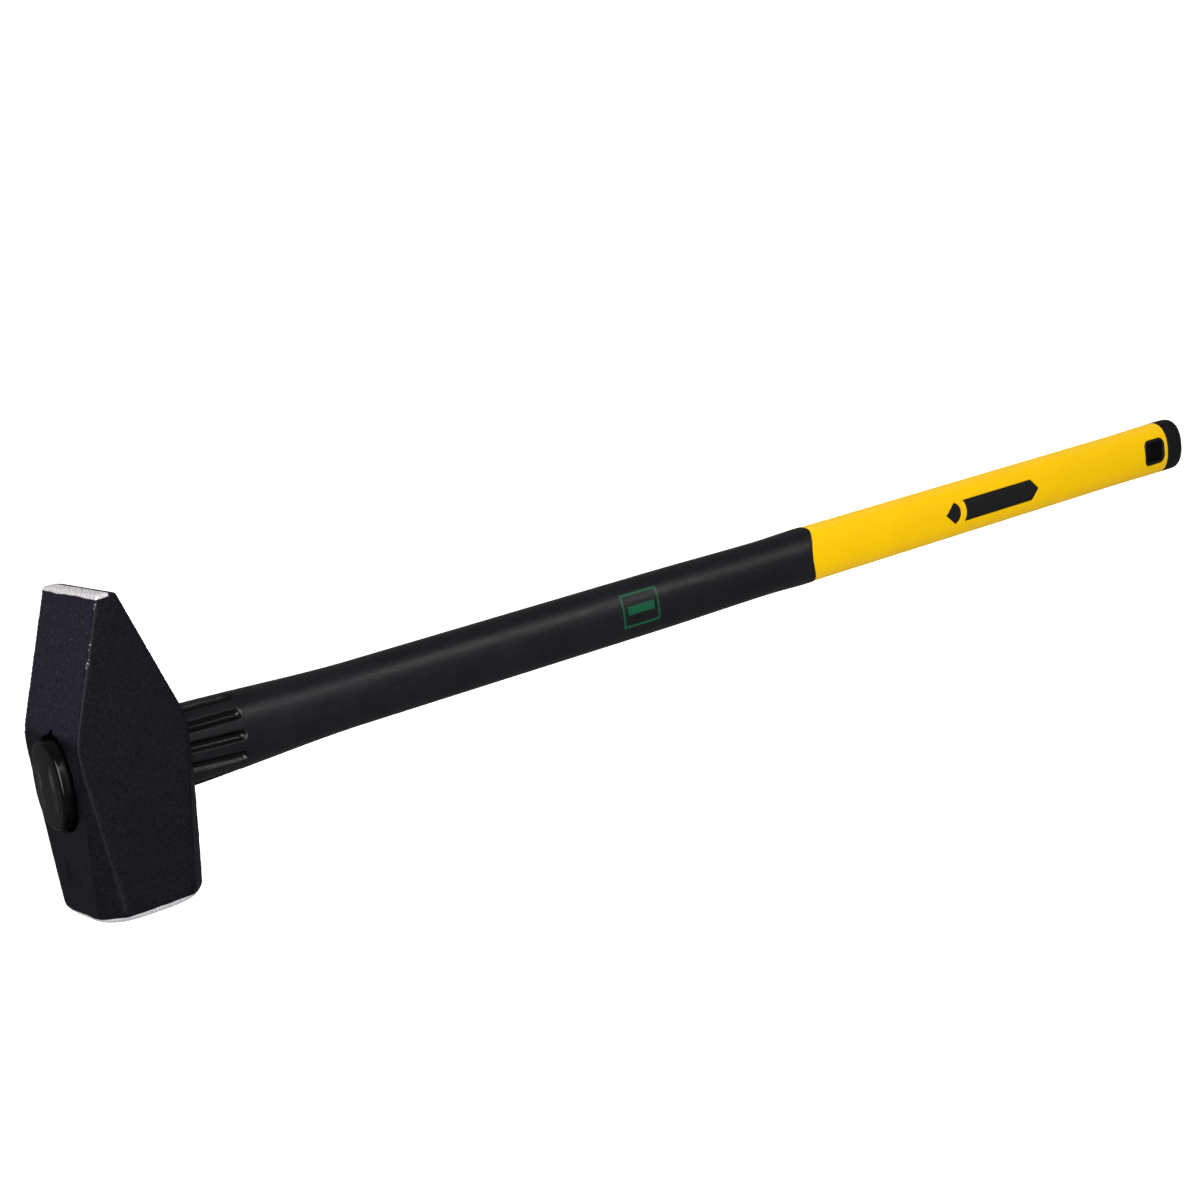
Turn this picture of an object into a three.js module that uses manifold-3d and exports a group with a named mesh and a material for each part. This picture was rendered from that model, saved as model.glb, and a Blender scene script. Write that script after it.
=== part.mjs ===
// Cross-peen sledgehammer on a moulded fibreglass handle.
// Millimetres. The hammer lies on one cheek of its head: +X runs along the handle from the head
// to the grip's end, +Y points at the peen and +Z up. The origin is the point of the lower cheek
// straight under the middle of the eye.

import * as THREE from 'three';
import { mergeVertices } from 'three/addons/utils/BufferGeometryUtils.js';
import Module from 'manifold-3d';

const wasm = await Module();
wasm.setup();

// ---- driving dimensions ----

// Head
const HEAD_SIDE = 59;              // the head's square body
const FACE_Y = -67.8;              // rim of the striking face
const FACE_CROWN = 5.5;            // rise of the striking face over its rim
const BEND_Y = 23;                 // where the square body turns into the peen's wedge
const BEND_BLEND = 8;              // length of the rounding on each side of the bend
const BULGE = { y: -8, out: 2.8, atBend: 1.5 };  // the side that the handle leaves stands out here
const PEEN_Y = 92.3;               // end of the peen
const PEEN_THICKNESS = 10.6;
const PEEN_CORNER = 3;
const CHAMFER_START_Y = 19;        // the corner chamfers grow from nothing here ...
const CHAMFER_LEG = 10.5;          // ... to this leg at the striking face

// Blank stamp pad, sunk in the side of the head that shows the handle's end
const STAMP = { y: -46.5, z: 0.5, height: 12.5, width: 16, depth: 0.9 };

// Handle axis and fits
const AXIS_Z = HEAD_SIDE / 2;
const GAP = 0.3;                   // between pieces that touch

// Eye: an oval hole that widens towards the button
const EYE = { neckHeight: 22.3, neckWidth: 16.9, mouthHeight: 24.6, mouthWidth: 18.6, mouthDepth: 6 };
const EYE_POINT_Y = 29.5;          // the mouth runs to a point on the peen side
const EYE_POINT_DEPTH = 5;

// Button: the handle's end, standing out of the eye
const BUTTON = { height: 23.6, width: 16.4, proud: 5.8, bevel: 1.2, depth: 7.5 };

// Core rod
const CORE = { height: 13, width: 8.2, start: -20, end: 804 };

// Jacket: black moulding from the eye to the grip. Half sizes of its oval
const STUB = { height: 20.4, width: 15 };
const NECK = { start: HEAD_SIDE / 2 + GAP, end: 148, height: 21.6, width: 16 };
const SHAFT = { height: 17.8, width: 13 };
const WAIST = { x: 448, height: 17.1, width: 12.4 };
const LIP = { height: 17.9, width: 13, reach: 3.5 };

// Where the jacket ends: on the narrow sides at x, dipping towards the head on the broad sides
const JOINT = { x: 489, dip: 5.5, halfSpan: 16 };

// Flutes round the neck
const FLUTE = { count: 10, end: 70, radius: 3, depth: 2.1 };

// Grip: yellow skin
const GRIP = { height: 17.6, width: 12, tailHeight: 18.1, tailWidth: 12.3, end: 846 };
const GRIP_TAIL_START = 790;

// Soft pads let into both broad sides of the grip: a tip with a point and a round end, and a long
// pad that starts with an arc round the same hub and ends in a point
const PAD_HALF_HEIGHT = 6.9;
const PAD_SINK = 2.2;
const PAD_HUB_X = 615.1;
const TIP_PAD = { radius: 7.05, point: 608.5 };
const LONG_PAD = { radius: 13.2, shoulder: 694.6, point: 701.5 };

// Hanging hole
const HOLE = { x: 831.2, length: 22.4, height: 18, corner: 5, wall: 2 };

// End cap
const CAP = { end: 866, height: 18.2, width: 12.4, round: 6.5, tongueStart: 807 };

// ---- finishes ----

const finish = (color, roughness, metalness = 0) =>
    new THREE.MeshStandardMaterial({ color, roughness, metalness });
const FORGED_PAINT = finish(0x22202a, 0.45, 0.4);
const RESIN = finish(0x2b2218, 0.6);
const GLOSS_BLACK = finish(0x08080a, 0.15);
const GLASS_FIBRE = finish(0xb9b48f, 0.55);
const SATIN_BLACK = finish(0x141416, 0.45);
const YELLOW = finish(0xf3c10a, 0.5);
const SOFT_BLACK = finish(0x0f0f10, 0.8);

// ---- solids ----

// A closed geometry as a solid, with its shared vertices merged and its slivers dropped
function solidOf(geometry) {
    const bare = geometry.clone();
    bare.deleteAttribute('normal');
    bare.deleteAttribute('uv');
    const merged = mergeVertices(bare, 1e-4);
    const index = merged.index.array;
    const triangles = [];
    for (let i = 0; i < index.length; i += 3) {
        const [a, b, c] = [index[i], index[i + 1], index[i + 2]];
        if (a !== b && b !== c && c !== a) triangles.push(a, b, c);
    }
    return new wasm.Manifold(new wasm.Mesh({
        numProp: 3,
        vertProperties: new Float32Array(merged.attributes.position.array),
        triVerts: new Uint32Array(triangles),
    }));
}

// A solid back as a geometry
function geometryOf(solid) {
    const mesh = solid.getMesh();
    const geometry = new THREE.BufferGeometry();
    geometry.setAttribute('position', new THREE.BufferAttribute(mesh.vertProperties, 3));
    geometry.setIndex(new THREE.BufferAttribute(mesh.triVerts, 1));
    return geometry;
}

const signedPower = (value, power) => Math.sign(value) * Math.abs(value) ** power;

// A rod along X on the handle's axis: a turned blank pressed to an oval at each station.
// A station is { x, height, width }, half sizes; squareness 2 is an ellipse, more is fuller.
function ovalRod(stations, segments, squareness = 2.25) {
    const profile = [new THREE.Vector2(0, stations[0].x)];
    for (const station of stations) profile.push(new THREE.Vector2(1, station.x));
    profile.push(new THREE.Vector2(0, stations.at(-1).x));
    const blank = new THREE.LatheGeometry(profile, segments);
    const points = blank.attributes.position;
    const perRing = profile.length;
    for (let i = 0; i < points.count; i++) {
        const onProfile = Math.min(Math.max(i % perRing - 1, 0), stations.length - 1);
        const station = stations[onProfile];
        const y = station.height * signedPower(points.getZ(i), 2 / squareness);
        const z = station.width * signedPower(points.getX(i), 2 / squareness);
        points.setXYZ(i, station.x, y, AXIS_Z + z);
    }
    return solidOf(blank);
}

// Stations of an end rounded from a full section at x to a smaller one `reach` further on
function roundedEnd(x, reach, height, width, steps = 4) {
    const inset = Math.abs(reach);
    return Array.from({ length: steps }, (_, i) => {
        const angle = ((i + 1) / steps) * (Math.PI / 2);
        const lost = inset * (1 - Math.cos(angle));
        return { x: x + reach * Math.sin(angle), height: height - lost, width: width - lost };
    });
}

const blend = (a, b, t) => a + (b - a) * t * t * (3 - 2 * t);

// Half height and half width of the handle's outside at x
function handleSection(x) {
    const between = (from, to, a, b) => {
        const t = Math.min(Math.max((x - from) / (to - from), 0), 1);
        return { x, height: blend(a.height, b.height, t), width: blend(a.width, b.width, t) };
    };
    const tail = { height: GRIP.tailHeight, width: GRIP.tailWidth };
    if (x < NECK.end) return between(NECK.start, NECK.end, NECK, SHAFT);
    if (x < WAIST.x) return between(WAIST.x - 90, WAIST.x, SHAFT, WAIST);
    if (x < JOINT.x) return between(WAIST.x, JOINT.x - LIP.reach, WAIST, LIP);
    return between(GRIP_TAIL_START, GRIP.end, GRIP, tail);
}

const box = (x, y, z, sizeX, sizeY, sizeZ) =>
    solidOf(new THREE.BoxGeometry(sizeX, sizeY, sizeZ).translate(x, y, z));

// ---- head ----

// How far out the side that the handle leaves is, between the bend and the bulge
const handleSideX = (y) => THREE.MathUtils.mapLinear(
    y, BULGE.y, BEND_Y, HEAD_SIDE / 2 + BULGE.out, HEAD_SIDE / 2 + BULGE.atBend);

// Side outline of the head: square body, rounded bend, wedge and blunt peen end
function headOutline() {
    const half = HEAD_SIDE / 2;
    const nose = PEEN_THICKNESS / 2;
    const bend = half + BULGE.atBend;
    const wedge = new THREE.Vector2(nose - half, PEEN_Y - BEND_Y).normalize();
    const farWedge = new THREE.Vector2(nose - bend, PEEN_Y - BEND_Y).normalize();
    const outline = new THREE.Shape();
    outline.moveTo(-half, FACE_Y - FACE_CROWN - 1);
    outline.lineTo(half, FACE_Y - FACE_CROWN - 1);
    outline.lineTo(half, FACE_Y);
    outline.lineTo(half + BULGE.out, BULGE.y);
    outline.lineTo(handleSideX(BEND_Y - BEND_BLEND), BEND_Y - BEND_BLEND);
    outline.quadraticCurveTo(bend, BEND_Y, bend + farWedge.x * BEND_BLEND, BEND_Y + farWedge.y * BEND_BLEND);
    outline.lineTo(nose - farWedge.x * PEEN_CORNER, PEEN_Y - farWedge.y * PEEN_CORNER);
    outline.quadraticCurveTo(nose, PEEN_Y, nose - PEEN_CORNER, PEEN_Y);
    outline.lineTo(PEEN_CORNER - nose, PEEN_Y);
    outline.quadraticCurveTo(-nose, PEEN_Y, wedge.x * PEEN_CORNER - nose, PEEN_Y - wedge.y * PEEN_CORNER);
    outline.lineTo(-half - wedge.x * BEND_BLEND, BEND_Y + wedge.y * BEND_BLEND);
    outline.quadraticCurveTo(-half, BEND_Y, -half, BEND_Y - BEND_BLEND);
    return outline;
}

// Block that takes off one long corner: its inner face slants from nothing at CHAMFER_START_Y
// to CHAMFER_LEG at the striking face. sideX and sideZ are the signs of the corner.
function cornerCut(sideX, sideZ) {
    const half = HEAD_SIDE / 2;
    const startX = sideX > 0 ? handleSideX(CHAMFER_START_Y) : -half;
    const start = new THREE.Vector3(startX, CHAMFER_START_Y, AXIS_Z + sideZ * half);
    const onSide = new THREE.Vector3(sideX * half, FACE_Y, AXIS_Z + sideZ * (half - CHAMFER_LEG));
    const onCheek = new THREE.Vector3(sideX * (half - CHAMFER_LEG), FACE_Y, AXIS_Z + sideZ * half);
    const across = onCheek.clone().sub(onSide).normalize();
    const along = onSide.clone().add(onCheek).multiplyScalar(0.5).sub(start).normalize();
    const outward = new THREE.Vector3().crossVectors(along, across);
    if (outward.x * sideX < 0) {
        outward.negate();
        across.negate();
    }
    const [length, width, thickness] = [240, 60, 20];
    const placed = new THREE.Matrix4().makeBasis(along, across, outward)
        .setPosition(start.clone().addScaledVector(outward, thickness / 2));
    return solidOf(new THREE.BoxGeometry(length, width, thickness).applyMatrix4(placed));
}

// Everything behind the crowned striking face: the chamfered rim drawn in, ring by ring, to the
// middle of the face, and opened out behind it so that it touches nothing else
function crownedEnvelope() {
    const half = HEAD_SIDE / 2;
    const flat = half - CHAMFER_LEG;
    const corners = [[half, flat], [flat, half], [-flat, half], [-half, flat],
        [-half, -flat], [-flat, -half], [flat, -half], [half, -flat]];
    const points = [];
    for (const share of [1, 0.95, 0.9, 0.84, 0.74, 0.55, 0.3]) {
        const rise = FACE_CROWN * (1 - share ** 4) ** (5 / 9);
        for (const [x, z] of corners) points.push([x * share, FACE_Y - rise, AXIS_Z + z * share]);
    }
    points.push([0, FACE_Y - FACE_CROWN, AXIS_Z]);
    for (const [x, z] of corners) points.push([x * 2, PEEN_Y + 5, AXIS_Z + z * 2]);
    return wasm.Manifold.hull(points);
}

// Half sizes of the eye at x: full at its mouth, then tapering to the far side
function eyeSection(x) {
    const half = HEAD_SIDE / 2;
    const t = THREE.MathUtils.clamp((x + half - EYE.mouthDepth) / (2 * half - EYE.mouthDepth), 0, 1);
    return {
        x,
        height: THREE.MathUtils.lerp(EYE.mouthHeight, EYE.neckHeight, t),
        width: THREE.MathUtils.lerp(EYE.mouthWidth, EYE.neckWidth, t),
    };
}

// The eye's taper, and the pointed relief at the peen side of its mouth
function eyeHole() {
    const half = HEAD_SIDE / 2;
    const over = 1;
    const places = [-half - over, -half + EYE.mouthDepth, half + BULGE.out + over];
    const taper = ovalRod(places.map(eyeSection), 48);
    const point = new THREE.Shape();
    point.moveTo(-7, EYE.mouthHeight - 3.5);
    point.quadraticCurveTo(-2, EYE.mouthHeight + 1, 0, EYE_POINT_Y);
    point.quadraticCurveTo(2, EYE.mouthHeight + 1, 7, EYE.mouthHeight - 3.5);
    const relief = new THREE.ExtrudeGeometry(point, {
        depth: EYE_POINT_DEPTH + over, bevelEnabled: false, curveSegments: 4,
    });
    relief.rotateY(Math.PI / 2).translate(-half - over, 0, AXIS_Z);
    return taper.add(solidOf(relief));
}

function hammerHead() {
    const block = new THREE.ExtrudeGeometry(headOutline(), {
        depth: HEAD_SIDE, bevelEnabled: false, curveSegments: 5,
    });
    let head = solidOf(block).intersect(crownedEnvelope());
    for (const sideX of [-1, 1]) {
        for (const sideZ of [-1, 1]) head = head.subtract(cornerCut(sideX, sideZ));
    }
    const stamp = box(-HEAD_SIDE / 2, STAMP.y, AXIS_Z + STAMP.z, 2 * STAMP.depth, STAMP.height, STAMP.width);
    return head.subtract(eyeHole()).subtract(stamp);
}

// ---- pieces in the eye ----

// Cast resin between the eye and the jacket's stub
function eyeResin() {
    const half = HEAD_SIDE / 2;
    const start = -half + BUTTON.depth + GAP;
    const end = half - 1;
    const outside = (x) => {
        const eye = eyeSection(x);
        return { x, height: eye.height - GAP, width: eye.width - GAP };
    };
    const inside = { height: STUB.height + GAP, width: STUB.width + GAP };
    const bore = ovalRod([{ x: start - 1, ...inside }, { x: end + 1, ...inside }], 48);
    return ovalRod([outside(start), outside(end)], 48).subtract(bore);
}

// Oval button with a bevelled rim, and its plug in the mouth of the eye
function eyeButton() {
    const half = HEAD_SIDE / 2;
    const rim = (x, inset) => ({ x, height: BUTTON.height - inset, width: BUTTON.width - inset });
    return ovalRod([
        rim(-half - BUTTON.proud, BUTTON.bevel),
        rim(-half - BUTTON.proud + BUTTON.bevel, 0),
        rim(-half + BUTTON.depth, 0),
    ], 48);
}

// ---- handle ----

function handleCore() {
    const section = { height: CORE.height, width: CORE.width };
    return ovalRod([{ x: CORE.start, ...section }, { x: CORE.end, ...section }], 24);
}

function coreBore(from, to) {
    const section = { height: CORE.height + GAP, width: CORE.width + GAP };
    return ovalRod([{ x: from, ...section }, { x: to, ...section }], 24);
}

// Points spaced evenly round the neck's oval, from the middle of its lower broad side, each with
// its outward direction
function pointsRoundNeck(count) {
    const { height, width } = handleSection(FLUTE.end - 15);
    const oval = new THREE.EllipseCurve(0, 0, height, width, -Math.PI / 2, 1.5 * Math.PI);
    return Array.from({ length: count }, (_, i) => {
        const at = oval.getPointAt(i / count);
        const outward = new THREE.Vector2(at.x / height ** 2, at.y / width ** 2).normalize();
        return { at, outward };
    });
}

// One round-ended cutter for each flute
function fluteCutter({ at, outward }) {
    const start = NECK.start - 5;
    const length = FLUTE.end - FLUTE.radius - start;
    const ball = FLUTE.radius;
    const profile = [new THREE.Vector2(0, start), new THREE.Vector2(ball, start)];
    for (let i = 0; i <= 4; i++) {
        const angle = (i / 4) * (Math.PI / 2);
        profile.push(new THREE.Vector2(ball * Math.cos(angle), start + length + ball * Math.sin(angle)));
    }
    const lift = FLUTE.radius - FLUTE.depth;
    return solidOf(new THREE.LatheGeometry(profile, 12)
        .rotateZ(-Math.PI / 2)
        .translate(0, at.x + outward.x * lift, AXIS_Z + at.y + outward.y * lift));
}

// Everything beyond the curved line where the jacket meets the grip
function beyondJoint(offset) {
    const x = JOINT.x + offset;
    const outline = new THREE.Shape();
    outline.moveTo(x, -JOINT.halfSpan);
    outline.quadraticCurveTo(x - 2 * JOINT.dip, 0, x, JOINT.halfSpan);
    for (const [farX, y] of [[x, 40], [x + 500, 40], [x + 500, -40], [x, -40]]) outline.lineTo(farX, y);
    const bar = new THREE.ExtrudeGeometry(outline, { depth: 60, bevelEnabled: false, curveSegments: 8 });
    return solidOf(bar.translate(0, 0, AXIS_Z - 30));
}

function shaftJacket() {
    const stub = { height: STUB.height, width: STUB.width };
    const stations = [{ x: CORE.start + 2, ...stub }, { x: NECK.start - 0.02, ...stub }];
    const neckStops = [NECK.start, 50, 70, 90, 110, 130, NECK.end];
    const shaftStops = [250, 358, 385, 410, 430, WAIST.x, 465, 475];
    for (const x of [...neckStops, ...shaftStops]) stations.push(handleSection(x));
    stations.push({ ...LIP, x: JOINT.x - LIP.reach }, { ...LIP, x: JOINT.x + 5 });
    let jacket = ovalRod(stations, 48).subtract(coreBore(CORE.start - 5, JOINT.x + 10));
    for (const place of pointsRoundNeck(FLUTE.count)) jacket = jacket.subtract(fluteCutter(place));
    return jacket.subtract(beyondJoint(0));
}

// ---- grip ----

// Outlines of the two pads let into the grip, grown by `grow` for the windows round them
function tipOutline(grow) {
    const side = PAD_HALF_HEIGHT + grow;
    const radius = TIP_PAD.radius + grow;
    const corner = Math.asin(side / radius);
    const outline = new THREE.Shape();
    outline.absarc(PAD_HUB_X, 0, radius, -corner, corner);
    outline.lineTo(TIP_PAD.point - 1.5 * grow, 0);
    return outline;
}

function longOutline(grow) {
    const side = PAD_HALF_HEIGHT + grow;
    const radius = LONG_PAD.radius - grow;
    const corner = Math.asin(side / radius);
    const outline = new THREE.Shape();
    outline.absarc(PAD_HUB_X, 0, radius, corner, -corner, true);
    outline.lineTo(LONG_PAD.shoulder + 0.5 * grow, -side);
    outline.lineTo(LONG_PAD.point + 1.5 * grow, 0);
    outline.lineTo(LONG_PAD.shoulder + 0.5 * grow, side);
    return outline;
}

// A pad's outline as a bar through one half of the grip; side is +1 on top, -1 underneath
function padBar(outline, side, grow) {
    const bar = new THREE.ExtrudeGeometry(outline(grow), {
        depth: 30, bevelEnabled: false, curveSegments: 8,
    });
    const floor = GRIP.width - PAD_SINK - grow;
    return solidOf(bar.translate(0, 0, side > 0 ? AXIS_Z + floor : AXIS_Z - floor - 30));
}

function roundedSquare(length, height, corner) {
    const [l, h] = [length / 2, height / 2];
    const outline = new THREE.Shape();
    outline.absarc(l - corner, h - corner, corner, 0, Math.PI / 2);
    outline.absarc(corner - l, h - corner, corner, Math.PI / 2, Math.PI);
    outline.absarc(corner - l, corner - h, corner, Math.PI, 1.5 * Math.PI);
    outline.absarc(l - corner, corner - h, corner, 1.5 * Math.PI, 2 * Math.PI);
    return outline;
}

// A bar of the hanging hole's shape through the whole handle, grown by `grow`
function holeBar(grow) {
    const outline = roundedSquare(HOLE.length + 2 * grow, HOLE.height + 2 * grow, HOLE.corner + grow);
    const bar = new THREE.ExtrudeGeometry(outline, { depth: 60, bevelEnabled: false, curveSegments: 4 });
    return solidOf(bar.translate(HOLE.x, 0, AXIS_Z - 30));
}

function gripOutside(from, to) {
    const stops = [from, 560, 640, 715, GRIP_TAIL_START, 805, 820, 834, to];
    return ovalRod(stops.map(handleSection), 48);
}

const PADS = [{ name: 'tip', outline: tipOutline }, { name: 'long', outline: longOutline }];
const SIDES = [{ name: 'upper', sign: 1 }, { name: 'lower', sign: -1 }];

function gripSkin() {
    const rod = gripOutside(JOINT.x - JOINT.dip - 3, GRIP.end - GAP);
    let skin = rod.intersect(beyondJoint(GAP)).subtract(coreBore(JOINT.x - 20, GRIP.end + 5));
    for (const pad of PADS) {
        for (const side of SIDES) skin = skin.subtract(padBar(pad.outline, side.sign, GAP));
    }
    return skin.subtract(holeBar(GAP));
}

function gripPad(pad, side) {
    return gripOutside(JOINT.x, GRIP.end).intersect(padBar(pad.outline, side.sign, 0));
}

function hangHoleBush() {
    return gripOutside(JOINT.x, GRIP.end).intersect(holeBar(0)).subtract(holeBar(-HOLE.wall));
}

// Rounded cap, with the tongue that plugs the grip round the hanging hole
function endCap() {
    const flat = CAP.end - CAP.round;
    const body = ovalRod([
        { x: GRIP.end, height: CAP.height, width: CAP.width },
        { x: flat, height: CAP.height, width: CAP.width },
        ...roundedEnd(flat, CAP.round, CAP.height, CAP.width, 5),
    ], 48);
    const tongue = ovalRod([
        { x: CAP.tongueStart, height: CORE.height - GAP, width: CORE.width - GAP },
        { x: GRIP.end + 1, height: CORE.height - GAP, width: CORE.width - GAP },
    ], 24);
    return body.add(tongue).subtract(holeBar(GAP));
}

// ---- assembly ----

const hammer = new THREE.Group();

function addPiece(name, solid, material) {
    const mesh = new THREE.Mesh(geometryOf(solid), material);
    mesh.name = name;
    hammer.add(mesh);
}

addPiece('hammer_head', hammerHead(), FORGED_PAINT);
addPiece('eye_resin', eyeResin(), RESIN);
addPiece('eye_button', eyeButton(), GLOSS_BLACK);
addPiece('handle_core', handleCore(), GLASS_FIBRE);
addPiece('shaft_jacket', shaftJacket(), SATIN_BLACK);
addPiece('grip_skin', gripSkin(), YELLOW);
for (const pad of PADS) {
    for (const side of SIDES) addPiece(`grip_pad_${pad.name}_${side.name}`, gripPad(pad, side), SOFT_BLACK);
}
addPiece('hang_hole_bush', hangHoleBush(), SATIN_BLACK);
addPiece('end_cap', endCap(), SATIN_BLACK);

export default hammer;
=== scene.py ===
"""Cross-peen sledgehammer: the finished surfaces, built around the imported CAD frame.

The hammer lies on one cheek of its head. Everything is in metres, in the frame of the CAD model: +X runs
along the handle from the head to the grip's end, +Y points at the peen and +Z up.
"""

import logging
import math
from collections.abc import Callable, Iterable, Sequence
from dataclasses import dataclass, field
from enum import Enum
from functools import cached_property

import bmesh
import bpy
from mathutils import Matrix, Vector, noise


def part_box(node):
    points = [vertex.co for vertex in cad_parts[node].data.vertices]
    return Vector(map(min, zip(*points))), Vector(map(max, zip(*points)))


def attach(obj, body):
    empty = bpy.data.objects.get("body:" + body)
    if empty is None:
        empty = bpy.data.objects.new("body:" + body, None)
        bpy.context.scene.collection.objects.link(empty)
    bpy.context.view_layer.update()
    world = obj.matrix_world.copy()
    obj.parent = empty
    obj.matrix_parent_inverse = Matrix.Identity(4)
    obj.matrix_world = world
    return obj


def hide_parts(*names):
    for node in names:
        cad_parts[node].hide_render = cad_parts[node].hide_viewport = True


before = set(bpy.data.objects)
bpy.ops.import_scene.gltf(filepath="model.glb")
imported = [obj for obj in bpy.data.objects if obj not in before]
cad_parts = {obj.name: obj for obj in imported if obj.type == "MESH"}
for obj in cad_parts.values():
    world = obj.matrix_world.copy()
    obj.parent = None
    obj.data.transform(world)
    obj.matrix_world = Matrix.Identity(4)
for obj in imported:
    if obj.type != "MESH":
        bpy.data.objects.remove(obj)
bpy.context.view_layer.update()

LOG = logging.getLogger("sledgehammer")

MM = 0.001
BODY = "root"
HEAD_LOW, HEAD_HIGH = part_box("hammer_head")
JACKET_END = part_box("shaft_jacket")[1].x
GRIP_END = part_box("grip_skin")[1].x
CAP_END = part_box("end_cap")[1].x
BUTTON_LOW, BUTTON_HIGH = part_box("eye_button")
BUSH_LOW, BUSH_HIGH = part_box("hang_hole_bush")
AXIS_Z = (HEAD_LOW.z + HEAD_HIGH.z) / 2
SQUARENESS = 2.25  # exponent of the handle's oval: 2 is an ellipse, more is squarer
SAME_PLACE = 1e-6

Colour = tuple[float, float, float]
Triple = tuple[float, float, float]
Socket = bpy.types.NodeSocket
Number = float | Socket
Piece = bpy.types.Object
Mesh = bmesh.types.BMesh
Vert = bmesh.types.BMVert
Edge = bmesh.types.BMEdge


class Slot(Enum):
    """The record's material slots, one named for each piece."""

    FORGED = "forged_paint"
    RESIN = "cast_resin"
    GLOSS = "gloss_black"
    FIBRE = "glass_fibre"
    SATIN = "satin_black"
    YELLOW = "yellow_skin"
    SOFT = "soft_black"


class Side(Enum):
    """The two broad sides of the handle."""

    UPPER = 1
    LOWER = -1


# ---- Materials ----


class Recipe:
    """A material's node tree, with short calls for the nodes that the finishes share.

    Positions are Object coordinates turned into millimetres, so every scale reads as cycles per mm.
    """

    def __init__(self, name: str) -> None:
        """Starts a material with one Principled shader.

        Args:
            name: the material's name.
        """
        self.material = bpy.data.materials.new(name)
        self.material.use_nodes = True
        self.tree = self.material.node_tree
        self.shader = self.tree.nodes["Principled BSDF"]
        coordinates = self.tree.nodes.new("ShaderNodeTexCoord")
        to_mm = self.tree.nodes.new("ShaderNodeMapping")
        to_mm.inputs["Scale"].default_value = (1 / MM, 1 / MM, 1 / MM)
        self.tree.links.new(coordinates.outputs["Object"], to_mm.inputs["Vector"])
        self.place = to_mm.outputs["Vector"]

    def set(self, **values: float | tuple | Socket) -> None:
        """Sets sockets of the shader, named with underscores: a number, a colour or a link.

        Args:
            **values: socket names and what goes in them.
        """
        for key, value in values.items():
            self.feed(value, self.shader.inputs[key.replace("_", " ")])

    def feed(self, value: float | tuple | Socket, socket: Socket) -> None:
        """Links a socket, or sets its value.

        Args:
            value: an output socket, or a number or colour.
            socket: the input that it goes to.
        """
        if isinstance(value, Socket):
            self.tree.links.new(value, socket)
        elif isinstance(value, tuple) and len(value) == 3 and socket.type == "RGBA":
            socket.default_value = (*value, 1.0)
        else:
            socket.default_value = value

    def fed(self, name: str) -> Socket:
        """What is linked to one of the shader's sockets."""
        return self.shader.inputs[name].links[0].from_socket

    def stretched(self, scale: Triple) -> Socket:
        """The position in mm, multiplied along each axis.

        Args:
            scale: the factor along X, Y and Z.

        Returns:
            The scaled position.
        """
        node = self.tree.nodes.new("ShaderNodeVectorMath")
        node.operation = "MULTIPLY"
        self.tree.links.new(self.place, node.inputs[0])
        node.inputs[1].default_value = scale
        return node.outputs["Vector"]

    def axis(self, letter: str) -> Socket:
        """One coordinate of the position, in mm.

        Args:
            letter: "X", "Y" or "Z".

        Returns:
            The coordinate.
        """
        node = self.tree.nodes.new("ShaderNodeSeparateXYZ")
        self.tree.links.new(self.place, node.inputs["Vector"])
        return node.outputs[letter]

    def noise(self, scale: float, detail: float = 3.0, rough: float = 0.55,
              at: Socket | None = None) -> Socket:
        """Smooth noise.

        Args:
            scale: cycles per mm.
            detail: number of finer layers.
            rough: how strong the finer layers are.
            at: where to read it, or the plain position.

        Returns:
            The noise value, about 0 to 1.
        """
        node = self.tree.nodes.new("ShaderNodeTexNoise")
        node.inputs["Scale"].default_value = scale
        node.inputs["Detail"].default_value = detail
        node.inputs["Roughness"].default_value = rough
        self.tree.links.new(at or self.place, node.inputs["Vector"])
        return node.outputs["Fac"]

    def cells(self, scale: float, at: Socket | None = None) -> Socket:
        """Distance to the nearest of many scattered points.

        Args:
            scale: cells per mm.
            at: where to read it, or the plain position.

        Returns:
            The distance, in cells.
        """
        node = self.tree.nodes.new("ShaderNodeTexVoronoi")
        node.inputs["Scale"].default_value = scale
        self.tree.links.new(at or self.place, node.inputs["Vector"])
        return node.outputs["Distance"]

    def span(self, value: Socket, low: float, high: float,
             to_low: float = 0.0, to_high: float = 1.0) -> Socket:
        """Maps a value from one range to another, smoothly and clamped.

        Args:
            value: what is mapped.
            low: the value that becomes to_low.
            high: the value that becomes to_high.
            to_low: result at low.
            to_high: result at high.

        Returns:
            The mapped value.
        """
        node = self.tree.nodes.new("ShaderNodeMapRange")
        node.interpolation_type = "SMOOTHSTEP"
        for key, number in (("From Min", low), ("From Max", high), ("To Min", to_low), ("To Max", to_high)):
            node.inputs[key].default_value = number
        self.tree.links.new(value, node.inputs["Value"])
        return node.outputs["Result"]

    def maths(self, operation: str, first: Number,
              second: Number = 0.0) -> Socket:
        """One sum on two values.

        Args:
            operation: the Math node's operation.
            first: a number or a socket.
            second: a number or a socket.

        Returns:
            The result.
        """
        node = self.tree.nodes.new("ShaderNodeMath")
        node.operation = operation
        self.feed(first, node.inputs[0])
        self.feed(second, node.inputs[1])
        return node.outputs["Value"]

    def times(self, first: Number, second: Number) -> Socket:
        """The product of two values."""
        return self.maths("MULTIPLY", first, second)

    def plus(self, first: Number, second: Number) -> Socket:
        """The sum of two values."""
        return self.maths("ADD", first, second)

    def offset(self, value: Number, middle: float) -> Socket:
        """How far a value is from a middle, on either side of it."""
        return self.maths("ABSOLUTE", self.maths("SUBTRACT", value, middle))

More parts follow.
